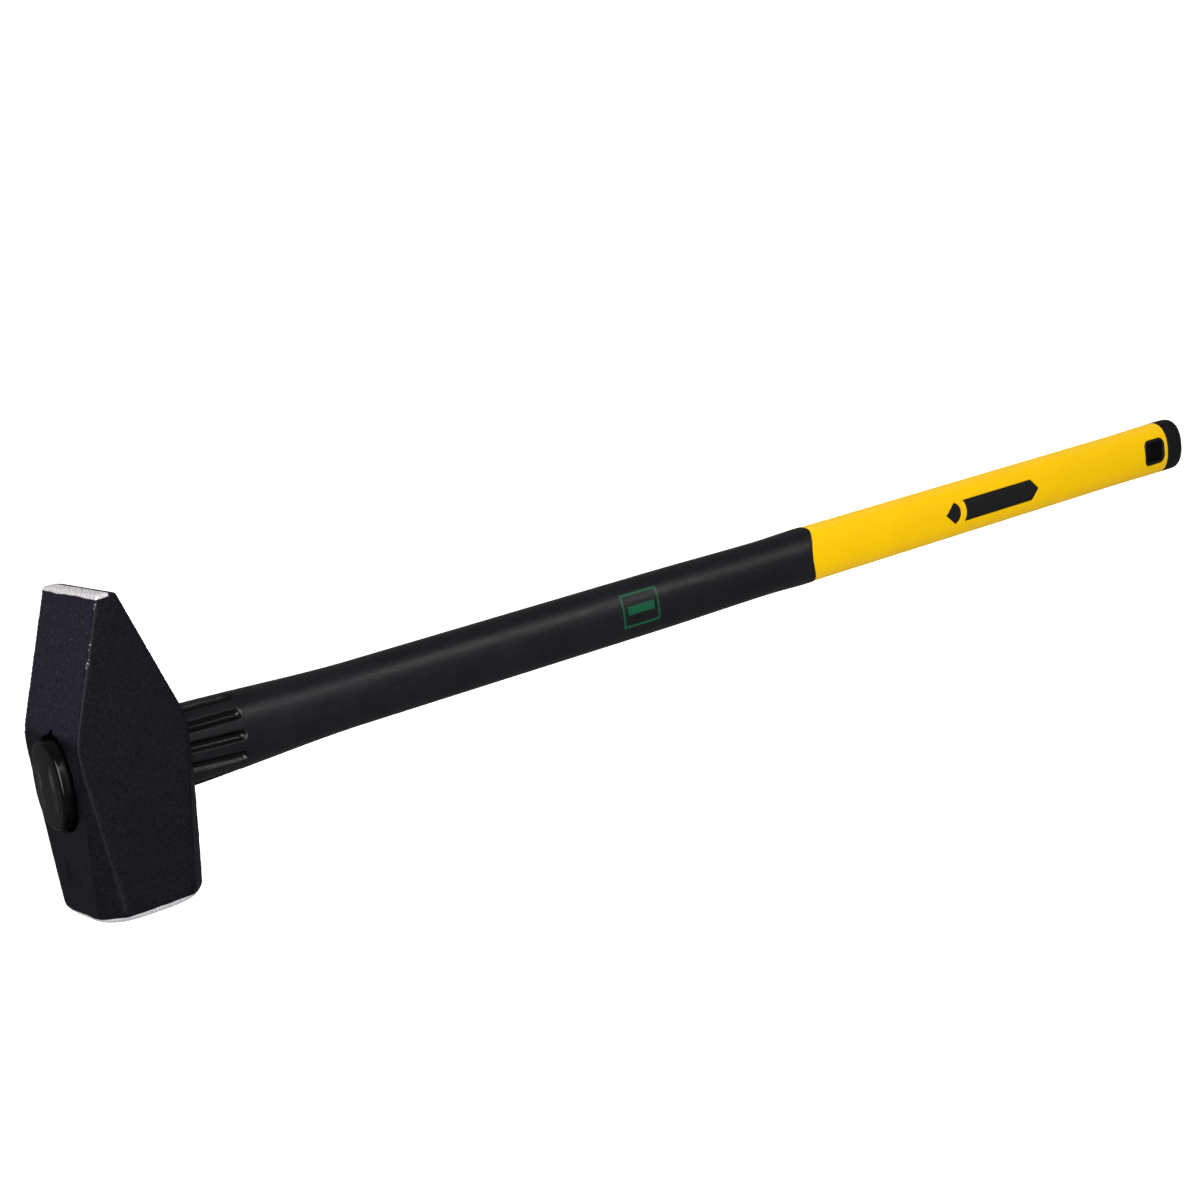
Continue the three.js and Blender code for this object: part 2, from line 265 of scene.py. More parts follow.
    def blend(self, factor: Number, first: tuple | Socket,
              second: tuple | Socket) -> Socket:
        """Mixes two colours.

        Args:
            factor: 0 gives the first colour, 1 the second.
            first: a colour or a socket.
            second: a colour or a socket.

        Returns:
            The mixed colour.
        """
        node = self.tree.nodes.new("ShaderNodeMix")
        node.data_type = "RGBA"
        self.feed(factor, node.inputs["Factor"])
        self.feed(first, node.inputs[6])
        self.feed(second, node.inputs[7])
        return node.outputs[2]

    def attribute(self, name: str) -> Socket:
        """A number that the piece's own vertices carry.

        Args:
            name: the attribute's name.

        Returns:
            Its value.
        """
        node = self.tree.nodes.new("ShaderNodeAttribute")
        node.attribute_name = name
        return node.outputs["Fac"]

    def bump(self, height: Socket, depth_mm: float,
             strength: Number = 1.0,
             over: Socket | None = None) -> Socket:
        """A bumped normal.

        Args:
            height: the pattern, 0 to 1.
            depth_mm: how deep a height of 1 is.
            strength: how much of it shows.
            over: a normal to add it to.

        Returns:
            The normal.
        """
        node = self.tree.nodes.new("ShaderNodeBump")
        node.inputs["Distance"].default_value = depth_mm * MM
        self.feed(strength, node.inputs["Strength"])
        self.tree.links.new(height, node.inputs["Height"])
        if over is not None:
            self.tree.links.new(over, node.inputs["Normal"])
        return node.outputs["Normal"]


@dataclass(frozen=True)
class ForgedSteel:
    """Thin blue-black paint over a forged skin, worn through on the edges and ground bare at both ends."""

    face_rim_mm: float
    peen_end_mm: float
    paint: Colour = (0.0026, 0.0022, 0.0046)
    paint_pale: Colour = (0.0092, 0.0083, 0.0140)
    # painted light: the paler, bluer paint of the slope that faces away from the handle
    painted_light_colour: Colour = (0.019, 0.0165, 0.036)
    bare: Colour = (0.80, 0.76, 0.79)
    worn: Colour = (0.24, 0.235, 0.265)
    thinned: Colour = (0.040, 0.038, 0.048)
    metal: float = 0.4
    specular: float = 0.14
    paint_rough: tuple[float, float] = (0.36, 0.56)
    skin_depth_mm: float = 0.28
    chip_depth_mm: float = 0.10
    line_depth_mm: float = 0.005

    def material(self) -> bpy.types.Material:
        """Builds the material.

        Returns:
            The finished material.
        """
        r = Recipe("forged_paint")
        grain = r.noise(0.75, 5.0, 0.62)
        wear = r.attribute("edge")
        patches = r.noise(0.16, 4.0, 0.62)
        chips = self.chips(r, wear, patches)
        ground = self.ground(r)
        lines = r.noise(2.2, 2.0, 0.6, r.stretched((0.06, 1.0, 1.0)))

        colour = self.paint_and_painted_light(r, grain)
        rubbed = r.times(r.span(wear, 0.25, 1.0), r.span(patches, 0.35, 0.75))
        colour = r.blend(r.times(rubbed, 0.45), colour, self.thinned)
        colour = r.blend(chips, colour, self.worn)
        steel = r.blend(r.span(lines, 0.3, 0.7), self.bare, tuple(0.90 * c for c in self.bare))
        colour = r.blend(ground, colour, steel)

        shiny = r.maths("MAXIMUM", ground, r.times(chips, 0.85))
        rough = r.plus(r.times(shiny, -0.16), r.span(grain, 0.3, 0.75, *self.paint_rough))
        skin = r.plus(r.times(grain, 0.7), r.span(r.cells(0.55), 0.0, 0.35, 0.0, 0.3))
        normal = r.bump(skin, self.skin_depth_mm, r.span(ground, 0.0, 1.0, 0.75, 0.02))
        normal = r.bump(lines, self.line_depth_mm, ground, normal)
        normal = r.bump(chips, -self.chip_depth_mm, 0.8, normal)
        r.set(Base_Color=colour, Metallic=r.times(shiny, self.metal), Roughness=rough, Normal=normal,
              Specular_IOR_Level=self.specular)
        return r.material

    def ground(self, r: Recipe) -> Socket:
        """Where the steel is ground bare: the striking face, and the peen up to its low ridge.

        Args:
            r: the material's tree.

        Returns:
            1 on ground steel, 0 on paint, with a wandering border.
        """
        wander = r.maths("SUBTRACT", r.noise(0.13, 2.0), 0.5)
        along = r.plus(r.axis("Y"), r.times(wander, 1.6))
        face = r.span(along, self.face_rim_mm + 0.25, self.face_rim_mm - 0.15)
        peen = r.times(r.span(along, self.peen_end_mm - 2.3, self.peen_end_mm - 1.7),
                       r.span(r.plus(r.axis("X"), r.times(wander, 2.4)), 1.1, 0.5))
        return r.maths("MAXIMUM", face, peen)

    def chips(self, r: Recipe, wear: Socket, patches: Socket) -> Socket:
        """Where the paint is chipped off the worn edges.

        Args:
            r: the material's tree.
            wear: how exposed the surface is.
            patches: slow noise that gathers the chips.

        Returns:
            1 in a chip, 0 on paint.
        """
        flecks = r.span(r.noise(0.9, 3.0, 0.6), 0.44, 0.62)
        chipped = r.times(r.times(wear, r.span(patches, 0.50, 0.66)), flecks)
        return r.span(chipped, 0.12, 0.34)

    def paint_and_painted_light(self, r: Recipe, grain: Socket) -> Socket:
        """The paint's colour, with its pale grain and its specks, painted light (paler, bluer paint) on the
        slope that faces away from the handle, and pale pricks there.

        Args:
            r: the material's tree.
            grain: the noise of the forged skin.

        Returns:
            The colour.
        """
        painted_light_and_pricks = r.attribute("painted_light_and_pricks")
        pale = r.times(r.span(grain, 0.42, 0.78), r.span(r.noise(0.045, 3.0), 0.25, 0.8, 0.35, 1.0))
        # painted light: paler, bluer paint where the slope faces away from the handle, as if lit
        painted_light_mix = r.times(painted_light_and_pricks, r.span(grain, 0.30, 0.74, 0.15, 0.75))
        specks = r.span(r.noise(1.3, 2.0, 0.5), 0.735, 0.80)
        pricks = r.span(r.noise(1.2, 1.0, 0.5), 0.72, 0.80)
        colour = r.blend(painted_light_mix, r.blend(pale, self.paint, self.paint_pale), self.painted_light_colour)
        colour = r.blend(r.times(specks, 0.22), colour, self.worn)
        return r.blend(r.times(pricks, r.times(painted_light_and_pricks, 0.50)), colour, self.worn)


@dataclass(frozen=True)
class MouldedPlastic:
    """A moulded plastic or rubber skin: base colour, fine grain and slow waviness from the mould."""

    name: str
    colour: Colour
    shade: Colour
    rough: tuple[float, float]
    grain_mm: float
    grain_depth_mm: float
    wave_depth_mm: float = 0.0
    specular: float = 0.5
    mottle: float = 0.0

    def recipe(self) -> Recipe:
        """Sets up the plastic's nodes.

        Returns:
            The node tree, all linked.
        """
        r = Recipe(self.name)
        grain = r.noise(1 / self.grain_mm, 3.0, 0.55)
        cloud = r.noise(0.035, 4.0, 0.6)
        scuff = r.noise(0.5, 4.0, 0.65, r.stretched((0.22, 1.0, 1.0)))
        tone = r.times(r.span(cloud, 0.3, 0.75), 0.6)
        tone = r.plus(tone, r.times(r.span(scuff, 0.55, 0.8), 0.4))
        colour = r.blend(tone, self.colour, self.shade)
        low, high = self.rough
        wear = r.plus(r.times(scuff, 0.6), r.times(cloud, 0.4))
        rough = r.span(wear, 0.3, 0.7, low, high)
        normal = r.bump(grain, self.grain_depth_mm)
        if self.mottle > 0:
            hide = r.cells(0.42, r.stretched((0.75, 1.0, 1.0)))
            normal = r.bump(r.span(hide, 0.0, 0.7), self.mottle, 0.7, normal)
        if self.wave_depth_mm > 0:
            normal = r.bump(r.noise(0.06, 2.0), self.wave_depth_mm, 1.0, normal)
        r.set(Base_Color=colour, Roughness=rough, Normal=normal, Specular_IOR_Level=self.specular)
        return r

    def material(self) -> bpy.types.Material:
        """Builds the material."""
        return self.recipe().material


@dataclass(frozen=True)
class HighlightStreakStud(MouldedPlastic):
    """Glossy plastic with one long painted highlight streak, a lighter colour, on each half of its face."""

    # rubbed: the lighter colour of the painted highlight streaks
    rubbed: Colour = (0.040, 0.038, 0.047)
    off_middle_mm: float = 7.0
    half_width_mm: float = 3.4
    half_length_mm: float = 15.0

    def material(self) -> bpy.types.Material:
        """Builds the material.

        Returns:
            The finished material.
        """
        r = self.recipe()
        # painted highlight: lighter streaks along the face, where a highlight would lie
        off_streak = r.offset(r.offset(r.axis("Z"), AXIS_Z / MM), self.off_middle_mm)
        across = r.span(off_streak, self.half_width_mm, 0.0)
        along = r.span(r.maths("ABSOLUTE", r.axis("Y")), self.half_length_mm, 0.4 * self.half_length_mm)
        broken = r.span(r.noise(0.35, 4.0, 0.6, r.stretched((1.0, 0.25, 1.0))), 0.32, 0.68)
        streak = r.times(r.times(across, along), broken)
        r.set(Base_Color=r.blend(r.times(streak, 0.8), r.fed("Base Color"), self.rubbed))
        return r.material


@dataclass(frozen=True)
class PrintedShaft(MouldedPlastic):
    """The shaft's plastic: flute channels painted dark as shade and polished, a plain green panel printed on
    its upper side.
    """

    ink: Colour = (0.003, 0.075, 0.032)
    # painted shade: the colour that darkens the flute channels away from their rims
    flute_painted_shade: Colour = (0.0006, 0.0006, 0.0008)
    centre_mm: tuple[float, float] = (340.5, 2.0)
    half_mm: tuple[float, float] = (14.0, 10.0)
    line_mm: float = 1.3
    bar_half_mm: float = 2.6
    blur_mm: float = 0.15
    flute_polish: float = 0.08

    def material(self) -> bpy.types.Material:
        """Builds the material.

        Returns:
            The finished material.
        """
        r = self.recipe()
        along = r.offset(r.axis("X"), self.centre_mm[0])
        across = r.offset(r.axis("Y"), self.centre_mm[1])
        outside = self.rectangle(r, along, across, 0.0)
        inside = self.rectangle(r, along, across, self.line_mm)
        band = r.times(self.rectangle(r, along, across, 3 * self.line_mm),
                       self.within(r, across, self.bar_half_mm))
        printed = r.maths("MAXIMUM", r.maths("SUBTRACT", outside, inside), band)
        printed = r.times(printed, r.maths("GREATER_THAN", r.axis("Z"), AXIS_Z / MM))
        worn = r.span(r.noise(0.8, 5.0, 0.65), 0.66, 0.56, 0.15, 1.0)
        colour = r.blend(r.times(printed, worn), r.fed("Base Color"), self.ink)
        # painted shade: the flute attribute darkens the channels, and also polishes them
        flute = r.attribute("flute")
        rough = r.plus(r.fed("Roughness"), r.times(flute, -self.flute_polish))
        r.set(Base_Color=r.blend(flute, colour, self.flute_painted_shade), Roughness=rough)
        return r.material

    def rectangle(self, r: Recipe, along: Socket, across: Socket,
                  inset: float) -> Socket:
        """A mask of the panel.

        Args:
            r: the material's tree.
            along: distance from the panel's centre along X, in mm.
            across: the same along Y.
            inset: how far the panel's edge is moved in, in mm.

        Returns:
            1 inside, 0 outside.
        """
        half_x, half_y = (half - inset for half in self.half_mm)
        return r.times(self.within(r, along, half_x), self.within(r, across, half_y))

    def within(self, r: Recipe, distance: Socket, reach: float) -> Socket:
        """A mask with a slightly soft border: 1 nearer than the reach, in mm."""
        return r.span(distance, reach + self.blur_mm, reach - self.blur_mm)


@dataclass(frozen=True)
class CastOrRod:
    """The hidden resin and the glass rod: streaky along the handle."""

    name: str
    colour: Colour
    streak: Colour

    def material(self) -> bpy.types.Material:
        """Builds the material.

        Returns:
            The finished material.
        """
        r = Recipe(self.name)
        streaks = r.noise(1.1, 4.0, 0.6, r.stretched((0.03, 1.0, 1.0)))
        colour = r.blend(r.span(streaks, 0.35, 0.7), self.colour, self.streak)
        r.set(Base_Color=colour, Roughness=r.span(streaks, 0.3, 0.7, 0.4, 0.6), Normal=r.bump(streaks, 0.08))
        return r.material


# ---- Mesh helpers ----


@dataclass(frozen=True)
class Oval:
    """One cross-section of the handle: half sizes at a place along X."""

    x: float
    height: float
    width: float

    def shrunk(self, inset: float, x: float | None = None) -> "Oval":
        """The same oval with its outline moved in, and at a new place along X if one is given."""
        return Oval(self.x if x is None else x, self.height - inset, self.width - inset)


def on_outline(cosine: float, sine: float) -> tuple[float, float]:
    """A point of the handle's outline, on an oval of half sizes 1.

    Args:
        cosine: the cosine of its angle on a plain circle.
        sine: the sine of the same.

    Returns:
        Y and Z.
    """
    y, z = (math.copysign(abs(c) ** (2 / SQUARENESS), c) for c in (cosine, sine))
    return y, z


def surface_lift(size: Oval, y: float) -> float:
    """How far the outside of an oval stands from the handle's axis, at a place across it.

    Args:
        size: the oval.
        y: the place across it.

    Returns:
        The distance along Z.
    """
    across = min(abs(y) / size.height, 1.0)
    return size.width * (1 - across**SQUARENESS) ** (1 / SQUARENESS)


def next_ring(bm: Mesh, edges: Sequence[Edge]) -> tuple[list[Vert], list[Edge]]:
    """Extrudes a closed ring of edges.

    Args:
        bm: the mesh.
        edges: the ring.

    Returns:
        The new ring's vertices and its edges.
    """
    grown = bmesh.ops.extrude_edge_only(bm, edges=edges)["geom"]
    return ([item for item in grown if isinstance(item, Vert)],
            [item for item in grown if isinstance(item, Edge) and item.is_boundary])


def band(bm: Mesh, loops: Sequence[Sequence[Vector]]) -> None:
    """Draws a band through closed loops, one extruded from the last.

    Args:
        bm: the mesh that it joins.
        loops: the loops, with as many points each.
    """
    ring = [bm.verts.new(point) for point in loops[0]]
    edges = [bm.edges.new((ring[i - 1], ring[i])) for i in range(len(ring))]
    for loop in loops[1:]:
        grown, edges = next_ring(bm, edges)
        fresh = set(grown)
        ring = [next(e.other_vert(v) for e in v.link_edges if e.other_vert(v) in fresh) for v in ring]
        for vert, point in zip(ring, loop):
            vert.co = point


def loft(bm: Mesh, ovals: Sequence[Oval], segments: int) -> list[Vert]:
    """Draws a skin through ovals, one ring extruded from the last.

    Args:
        bm: the mesh that it joins.
        ovals: the sections, in order.
        segments: vertices in a ring.

    Returns:
        The vertices of the last ring.
    """
    first = ovals[0]
    ring = bmesh.ops.create_circle(bm, segments=segments, radius=1.0)["verts"]
    for vert in ring:
        y, z = on_outline(vert.co.x, vert.co.y)
        vert.co = Vector((first.x, y * first.height, AXIS_Z + z * first.width))
    edges = list(dict.fromkeys(edge for vert in ring for edge in vert.link_edges))
    centre = Matrix.Translation((0, 0, -AXIS_Z))
    for before, after in zip(ovals, ovals[1:]):
        ring, edges = next_ring(bm, edges)
        factors = (1.0, after.height / before.height, after.width / before.width)
        bmesh.ops.scale(bm, vec=factors, space=centre, verts=ring)
        bmesh.ops.translate(bm, vec=(after.x - before.x, 0, 0), verts=ring)
    return ring


def close_ends(bm: Mesh) -> None:
    """Fills every open loop and turns all faces outwards.

    Args:
        bm: the mesh.
    """
    open_edges = [edge for edge in bm.edges if edge.is_boundary]
    bmesh.ops.holes_fill(bm, edges=open_edges, sides=0)
    bmesh.ops.recalc_face_normals(bm, faces=bm.faces[:])


def quarter_turn(steps: int) -> Iterable[tuple[float, float]]:
    """Points of a quarter circle, after its start.

    Args:
        steps: how many points.

    Yields:
        The sine and one minus the cosine at each.
    """
    for step in range(1, steps + 1):
        angle = step / steps * math.pi / 2
        yield math.sin(angle), 1 - math.cos(angle)


def as_object(name: str, bm: Mesh, smooth_deg: float = 35.0) -> Piece:
    """Turns a mesh into an object in the scene, smooth but for its sharp edges.

    Args:
        name: the object's name.
        bm: the mesh, which is freed.
        smooth_deg: edges sharper than this stay sharp.

    Returns:
        The object.
    """
    mesh = bpy.data.meshes.new(name)
    bm.to_mesh(mesh)
    bm.free()
    mesh.shade_smooth()
    mesh.set_sharp_from_angle(angle=math.radians(smooth_deg))
    piece = bpy.data.objects.new(name, mesh)
    bpy.context.scene.collection.objects.link(piece)
    return piece


def apply_modifiers(piece: Piece) -> None:
    """Bakes a piece's modifiers into its mesh.

    Args:
        piece: the object.
    """
    depsgraph = bpy.context.evaluated_depsgraph_get()
    done = bpy.data.meshes.new_from_object(piece.evaluated_get(depsgraph), depsgraph=depsgraph)
    old = piece.data
    piece.modifiers.clear()
    piece.data = done
    bpy.data.meshes.remove(old)


def cut(piece: Piece, tool: Piece, operation: str = "DIFFERENCE") -> None:
    """Cuts a piece with another, which is used up.

    Args:
        piece: the object that stays.
        tool: the object that cuts it.
        operation: the Boolean modifier's operation.
    """
    modifier = piece.modifiers.new("cut", "BOOLEAN")
    modifier.operation = operation
    modifier.solver = "EXACT"
    modifier.object = tool
    apply_modifiers(piece)
    bpy.data.objects.remove(tool)


def finish_piece(piece: Piece, material: bpy.types.Material, slot: Slot,
                 *replaced: str) -> Piece:
    """Gives a piece its material and its place in the frame.

    Args:
        piece: the object.
        material: its material.
        slot: the record's slot; not used.
        *replaced: the CAD nodes that it stands for.

    Returns:
        The same object.
    """
    piece.data.materials.clear()
    piece.data.materials.append(material)
    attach(piece, BODY)
    if replaced:
        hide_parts(*replaced)
    LOG.info("%s: %d faces", piece.name, len(piece.data.polygons))
    return piece


# ---- Head ----


@dataclass
class Head:
    """The forged head: square body, cross peen, growing corner chamfers, crowned face and eye."""

    side: float = HEAD_HIGH.z - HEAD_LOW.z
    peen_y: float = HEAD_HIGH.y
    crown: float = 5.5 * MM
    bend_y: float = 23.0 * MM
    bend_blend: float = 6.0 * MM
    bulge: float = HEAD_HIGH.x - (HEAD_HIGH.z - HEAD_LOW.z) / 2
    bulge_at_bend: float = 1.5 * MM
    bulge_y: float = -8.0 * MM
    peen_thickness: float = 10.6 * MM
    peen_ridge_x: float = 0.4 * MM
    peen_fall: tuple[float, float] = (0.1 * MM, 1.0 * MM)
    chamfer_start_y: float = 19.0 * MM
    chamfer_leg: float = 10.5 * MM
    eye_mouth: Oval = Oval(0.0, 24.6 * MM, 18.6 * MM)
    eye_neck: Oval = Oval(0.0, 22.3 * MM, 16.9 * MM)
    eye_point_y: float = 29.5 * MM
    eye_point_depth: float = 5.0 * MM
    eye_point_foot: float = 3.5 * MM
    eye_point_half_width: float = 7.0 * MM
    mouth_depth: float = 6.0 * MM
    cutter_over: float = 2.0 * MM
    cutter_past: float = 5.0 * MM
    stamp_centre: Vector = field(default_factory=lambda: Vector((0.0, -46.5 * MM, 0.5 * MM)))
    stamp_size: Vector = field(default_factory=lambda: Vector((1.8 * MM, 12.5 * MM, 16.0 * MM)))
    voxel: float = 0.85 * MM
    dent: float = 0.11 * MM
    fine_dent: float = 0.04 * MM
    nick: float = 1.5 * MM
    knock_spread: float = 4.2 * MM

    @cached_property
    def knocks(self) -> list[tuple[Vector, float]]:
        """Where edges were knocked in use, and how hard."""
        top, corner = HEAD_HIGH.z / MM, self.face_y / MM + 5
        marks = [((-11.9, 71.7, top), 1.0), ((-15.6, 63.7, top), 1.0), ((-7.1, 85.4, top), 0.6),
                 ((-24.9, 35.3, top), 0.5), ((17.6, 59.3, top), 0.7), ((20.2, 49.5, top), 0.6),
                 ((-self.half / MM, corner, 12.0), 0.8)]
        return [(Vector(place) * MM, strength) for place, strength in marks]

    @property
    def face_y(self) -> float:
        """The rim of the striking face."""
        return HEAD_LOW.y + self.crown

    @property
    def half(self) -> float:
        """Half of the head's side."""
        return self.side / 2

    def handle_side(self, y: float) -> float:
        """How far out the side that the handle leaves is, between the bend and the bulge."""
        share = (y - self.bulge_y) / (self.bend_y - self.bulge_y)
        return self.half + self.bulge + (self.bulge_at_bend - self.bulge) * share

    def wedge_block(self) -> Mesh:
        """The square bar with its bulge, drawn down to the peen, its bends rounded.

        Returns:
            The closed mesh.
        """
        bm = bmesh.new()
        bmesh.ops.create_cube(bm, size=1.0)
        length = self.peen_y - self.face_y
        bmesh.ops.scale(bm, vec=(self.side, length, self.side), verts=bm.verts)
        bmesh.ops.translate(bm, vec=(0, (self.peen_y + self.face_y) / 2, AXIS_Z), verts=bm.verts)
        for place in (self.bend_y, self.bulge_y):
            bmesh.ops.bisect_plane(bm, geom=bm.verts[:] + bm.edges[:] + bm.faces[:],
                                   plane_co=(0, place, 0), plane_no=(0, 1, 0))
        for place, out in ((self.bend_y, self.bulge_at_bend), (self.bulge_y, self.bulge)):
            pushed = [vert for vert in bm.verts if abs(vert.co.y - place) < SAME_PLACE and vert.co.x > 0]
            bmesh.ops.translate(bm, vec=(out, 0, 0), verts=pushed)
        tip = [vert for vert in bm.verts if vert.co.y > self.peen_y - MM]
        bmesh.ops.scale(bm, vec=(self.peen_thickness / self.side, 1, 1), verts=tip)
        self.slope_peen(bm)
        for place, offset in ((self.bend_y, self.bend_blend), (self.bulge_y, 2 * self.bend_blend)):
            bend = [edge for edge in bm.edges
                    if all(abs(vert.co.y - place) < SAME_PLACE for vert in edge.verts)
                    and abs(edge.verts[0].co.x - edge.verts[1].co.x) < SAME_PLACE
                    and (place == self.bend_y or edge.verts[0].co.x > 0)]
            bmesh.ops.bevel(bm, geom=bend, offset=offset, offset_type="OFFSET", segments=12,
                            profile=0.5, affect="EDGES", material=-1, clamp_overlap=False)
        return bm

    def slope_peen(self, bm: Mesh) -> None:
        """Lets the end of the peen fall away from a low ridge.

        Args:
            bm: the head's mesh.
        """
        end = [face for face in bm.faces if all(v.co.y > self.peen_y - SAME_PLACE for v in face.verts)]
        borders = dict.fromkeys(edge for face in end for edge in face.edges)
        corners = dict.fromkeys(vert for face in end for vert in face.verts)
        geometry = [*end, *borders, *corners]
        bmesh.ops.bisect_plane(bm, geom=geometry, plane_co=(self.peen_ridge_x, 0, 0), plane_no=(1, 0, 0))
        for vert in bm.verts:
            if vert.co.y > self.peen_y - SAME_PLACE and abs(vert.co.x) > 2 * MM:
                vert.co.y -= self.peen_fall[vert.co.x > 0]

    def chamfer_corners(self, bm: Mesh) -> None:
        """Planes the four long corners off, from nothing at the bend to the full leg at the face.

        Args:
            bm: the head's mesh.
        """
        for sign_x in (-1, 1):
            for sign_z in (-1, 1):
                start_x = self.handle_side(self.chamfer_start_y) if sign_x > 0 else -self.half
                start = Vector((start_x, self.chamfer_start_y, AXIS_Z + sign_z * self.half))
                rim_x = sign_x * self.half
                on_side = Vector((rim_x, self.face_y, start.z - sign_z * self.chamfer_leg))
                on_cheek = Vector((rim_x - sign_x * self.chamfer_leg, self.face_y, start.z))
                outward = (on_side - start).cross(on_cheek - start).normalized()
                if outward.x * sign_x < 0:
                    outward.negate()
                shaved = bmesh.ops.bisect_plane(bm, geom=bm.verts[:] + bm.edges[:] + bm.faces[:],
                                                plane_co=start, plane_no=outward, clear_outer=True)
                rim = [item for item in shaved["geom_cut"] if isinstance(item, Edge)]
                bmesh.ops.contextual_create(bm, geom=rim)

    def crown_face(self, bm: Mesh) -> None:
        """Splits the striking face finely and domes it, leaving its rim where it is.

        Args:
            bm: the head's mesh.
        """
        faces = [face for face in bm.faces if all(v.co.y < self.face_y + SAME_PLACE for v in face.verts)]
        rim = {edge for face in faces for edge in face.edges}
        corners = sorted({vert for edge in rim for vert in edge.verts},
                         key=lambda vert: math.atan2(vert.co.z - AXIS_Z, vert.co.x))
        outline = [Vector((vert.co.x, vert.co.z - AXIS_Z)) for vert in corners]
        bmesh.ops.poke(bm, faces=faces)
        for _ in range(5):
            flat = [edge for edge in bm.edges if all(v.co.y < self.face_y + SAME_PLACE for v in edge.verts)]
            bmesh.ops.subdivide_edges(bm, edges=flat, cuts=1, use_grid_fill=True)
        for vert in bm.verts:
            if vert.co.y < self.face_y + SAME_PLACE:
                across = Vector((vert.co.x, vert.co.z - AXIS_Z))
                share = min(self.reach_share(across, outline), 1.0)
                vert.co.y -= self.crown * (1 - share**4) ** (5 / 9)

    @staticmethod
    def reach_share(point: Vector, outline: Sequence[Vector], rounding: float = 12.0) -> float:
        """How far out a point is between the middle of an outline (0) and its rim (1), corners rounded.

        Args:
            point: the point.
            outline: the corners of a convex outline round the origin.
            rounding: how closely the corners are followed; a large number follows them sharply.

        Returns:
            The share of the way out.
        """
        share = 0.0
        for first, second in zip(outline, [*outline[1:], outline[0]]):
            along = second - first
            normal = Vector((along.y, -along.x)).normalized()
            if normal.dot(first) < 0:
                normal.negate()
            share += max(point.dot(normal) / normal.dot(first), 0.0) ** rounding
        return share ** (1 / rounding)

    def eye_tool(self) -> Piece:
        """The tapered oval that cuts the eye.

        Returns:
            The cutting object.
        """
        bm = bmesh.new()
        mouth, neck = self.eye_mouth, self.eye_neck
        loft(bm, [Oval(-self.half - self.cutter_over, mouth.height, mouth.width),
                  Oval(-self.half + self.mouth_depth, mouth.height, mouth.width),
                  Oval(self.half + self.cutter_past, neck.height, neck.width)], 96)
        close_ends(bm)
        return as_object("eye_tool", bm)

    def eye_point_tool(self) -> Piece:
        """The pointed relief at the peen side of the eye's mouth.

        Returns:
            The cutting object.
        """
        bm = bmesh.new()
        bmesh.ops.create_circle(bm, cap_ends=True, segments=32, radius=1.0)
        foot = self.eye_mouth.height - self.eye_point_foot
        reach = self.eye_point_y - foot
        for vert in bm.verts:
            across, out = vert.co.x, max(vert.co.y, -0.2)
            half_width = self.eye_point_half_width * (1 - max(out, 0.0)) ** 1.6
            vert.co = Vector((-self.half - self.cutter_over, foot + out * reach,
                              AXIS_Z + across * half_width))
        grown = bmesh.ops.extrude_face_region(bm, geom=bm.faces[:])["geom"]
        bmesh.ops.translate(bm, vec=(self.eye_point_depth + self.cutter_over, 0, 0),
                            verts=[item for item in grown if isinstance(item, Vert)])
        bmesh.ops.recalc_face_normals(bm, faces=bm.faces[:])
        return as_object("eye_point_tool", bm)

    def stamp_tool(self) -> Piece:
        """The blank stamp pad's block.

        Returns:
            The cutting object.
        """
        bm = bmesh.new()
        bmesh.ops.create_cube(bm, size=1.0)
        bmesh.ops.scale(bm, vec=self.stamp_size, verts=bm.verts)
        place = self.stamp_centre + Vector((-self.half, 0, AXIS_Z))
        bmesh.ops.translate(bm, vec=place, verts=bm.verts)
        return as_object("stamp_tool", bm)

    def knocked(self, point: Vector) -> float:
        """How hard the nearest knock marked a point: 1 in its middle, 0 away from all of them."""
        return max(strength * math.exp(-((point - place) / self.knock_spread).length_squared)
                   for place, strength in self.knocks)

    def painted_light_and_pricks_share(self, point: Vector, normal: Vector) -> float:
        """How much painted light, and how many pale pricks, a point takes, 0 to 1: the slope that faces away
        from the handle, and little else.
        """
        outward = min(max((-normal.x - 0.55) / 0.25, 0.0), 1.0)
        return outward * min(max((point.y - self.bend_y) / (4 * MM), 0.0), 1.0)

    def soften_face_end(self, bm: Mesh) -> None:
        """Rounds the forging's edges more and more towards the striking face.

        Args:
            bm: the head's mesh.
        """
        for reach, rounds in ((26 * MM, 4), (16 * MM, 5), (9 * MM, 7)):
            near = [vert for vert in bm.verts if vert.co.y < self.face_y + reach]
            for _ in range(rounds):
                bmesh.ops.smooth_vert(bm, verts=near, factor=0.5, use_axis_x=True, use_axis_y=True,
                                      use_axis_z=True)

    def weather(self, piece: Piece) -> None:
        """Presses shallow forging dents into the skin, marks how exposed each point is, and marks the slope
        that takes painted light.

        Args:
            piece: the remeshed head.
        """
        bm = bmesh.new()
        bm.from_mesh(piece.data)
        bm.normal_update()
        bm.verts.index_update()
        bend = [self.exposure(vert) for vert in bm.verts]
        for _ in range(2):
            bend = [0.5 * bend[vert.index] + 0.5 * self.mean_round(vert, bend) for vert in bm.verts]
        self.soften_face_end(bm)
        bm.normal_update()
        layer = bm.verts.layers.float.new("edge")
        painted_light_and_pricks = bm.verts.layers.float.new("painted_light_and_pricks")
        for vert in bm.verts:
            exposed = min(max(bend[vert.index] * 2.6, 0.0), 1.0)
            vert[layer] = exposed * (0.55 + 1.9 * self.knocked(vert.co))
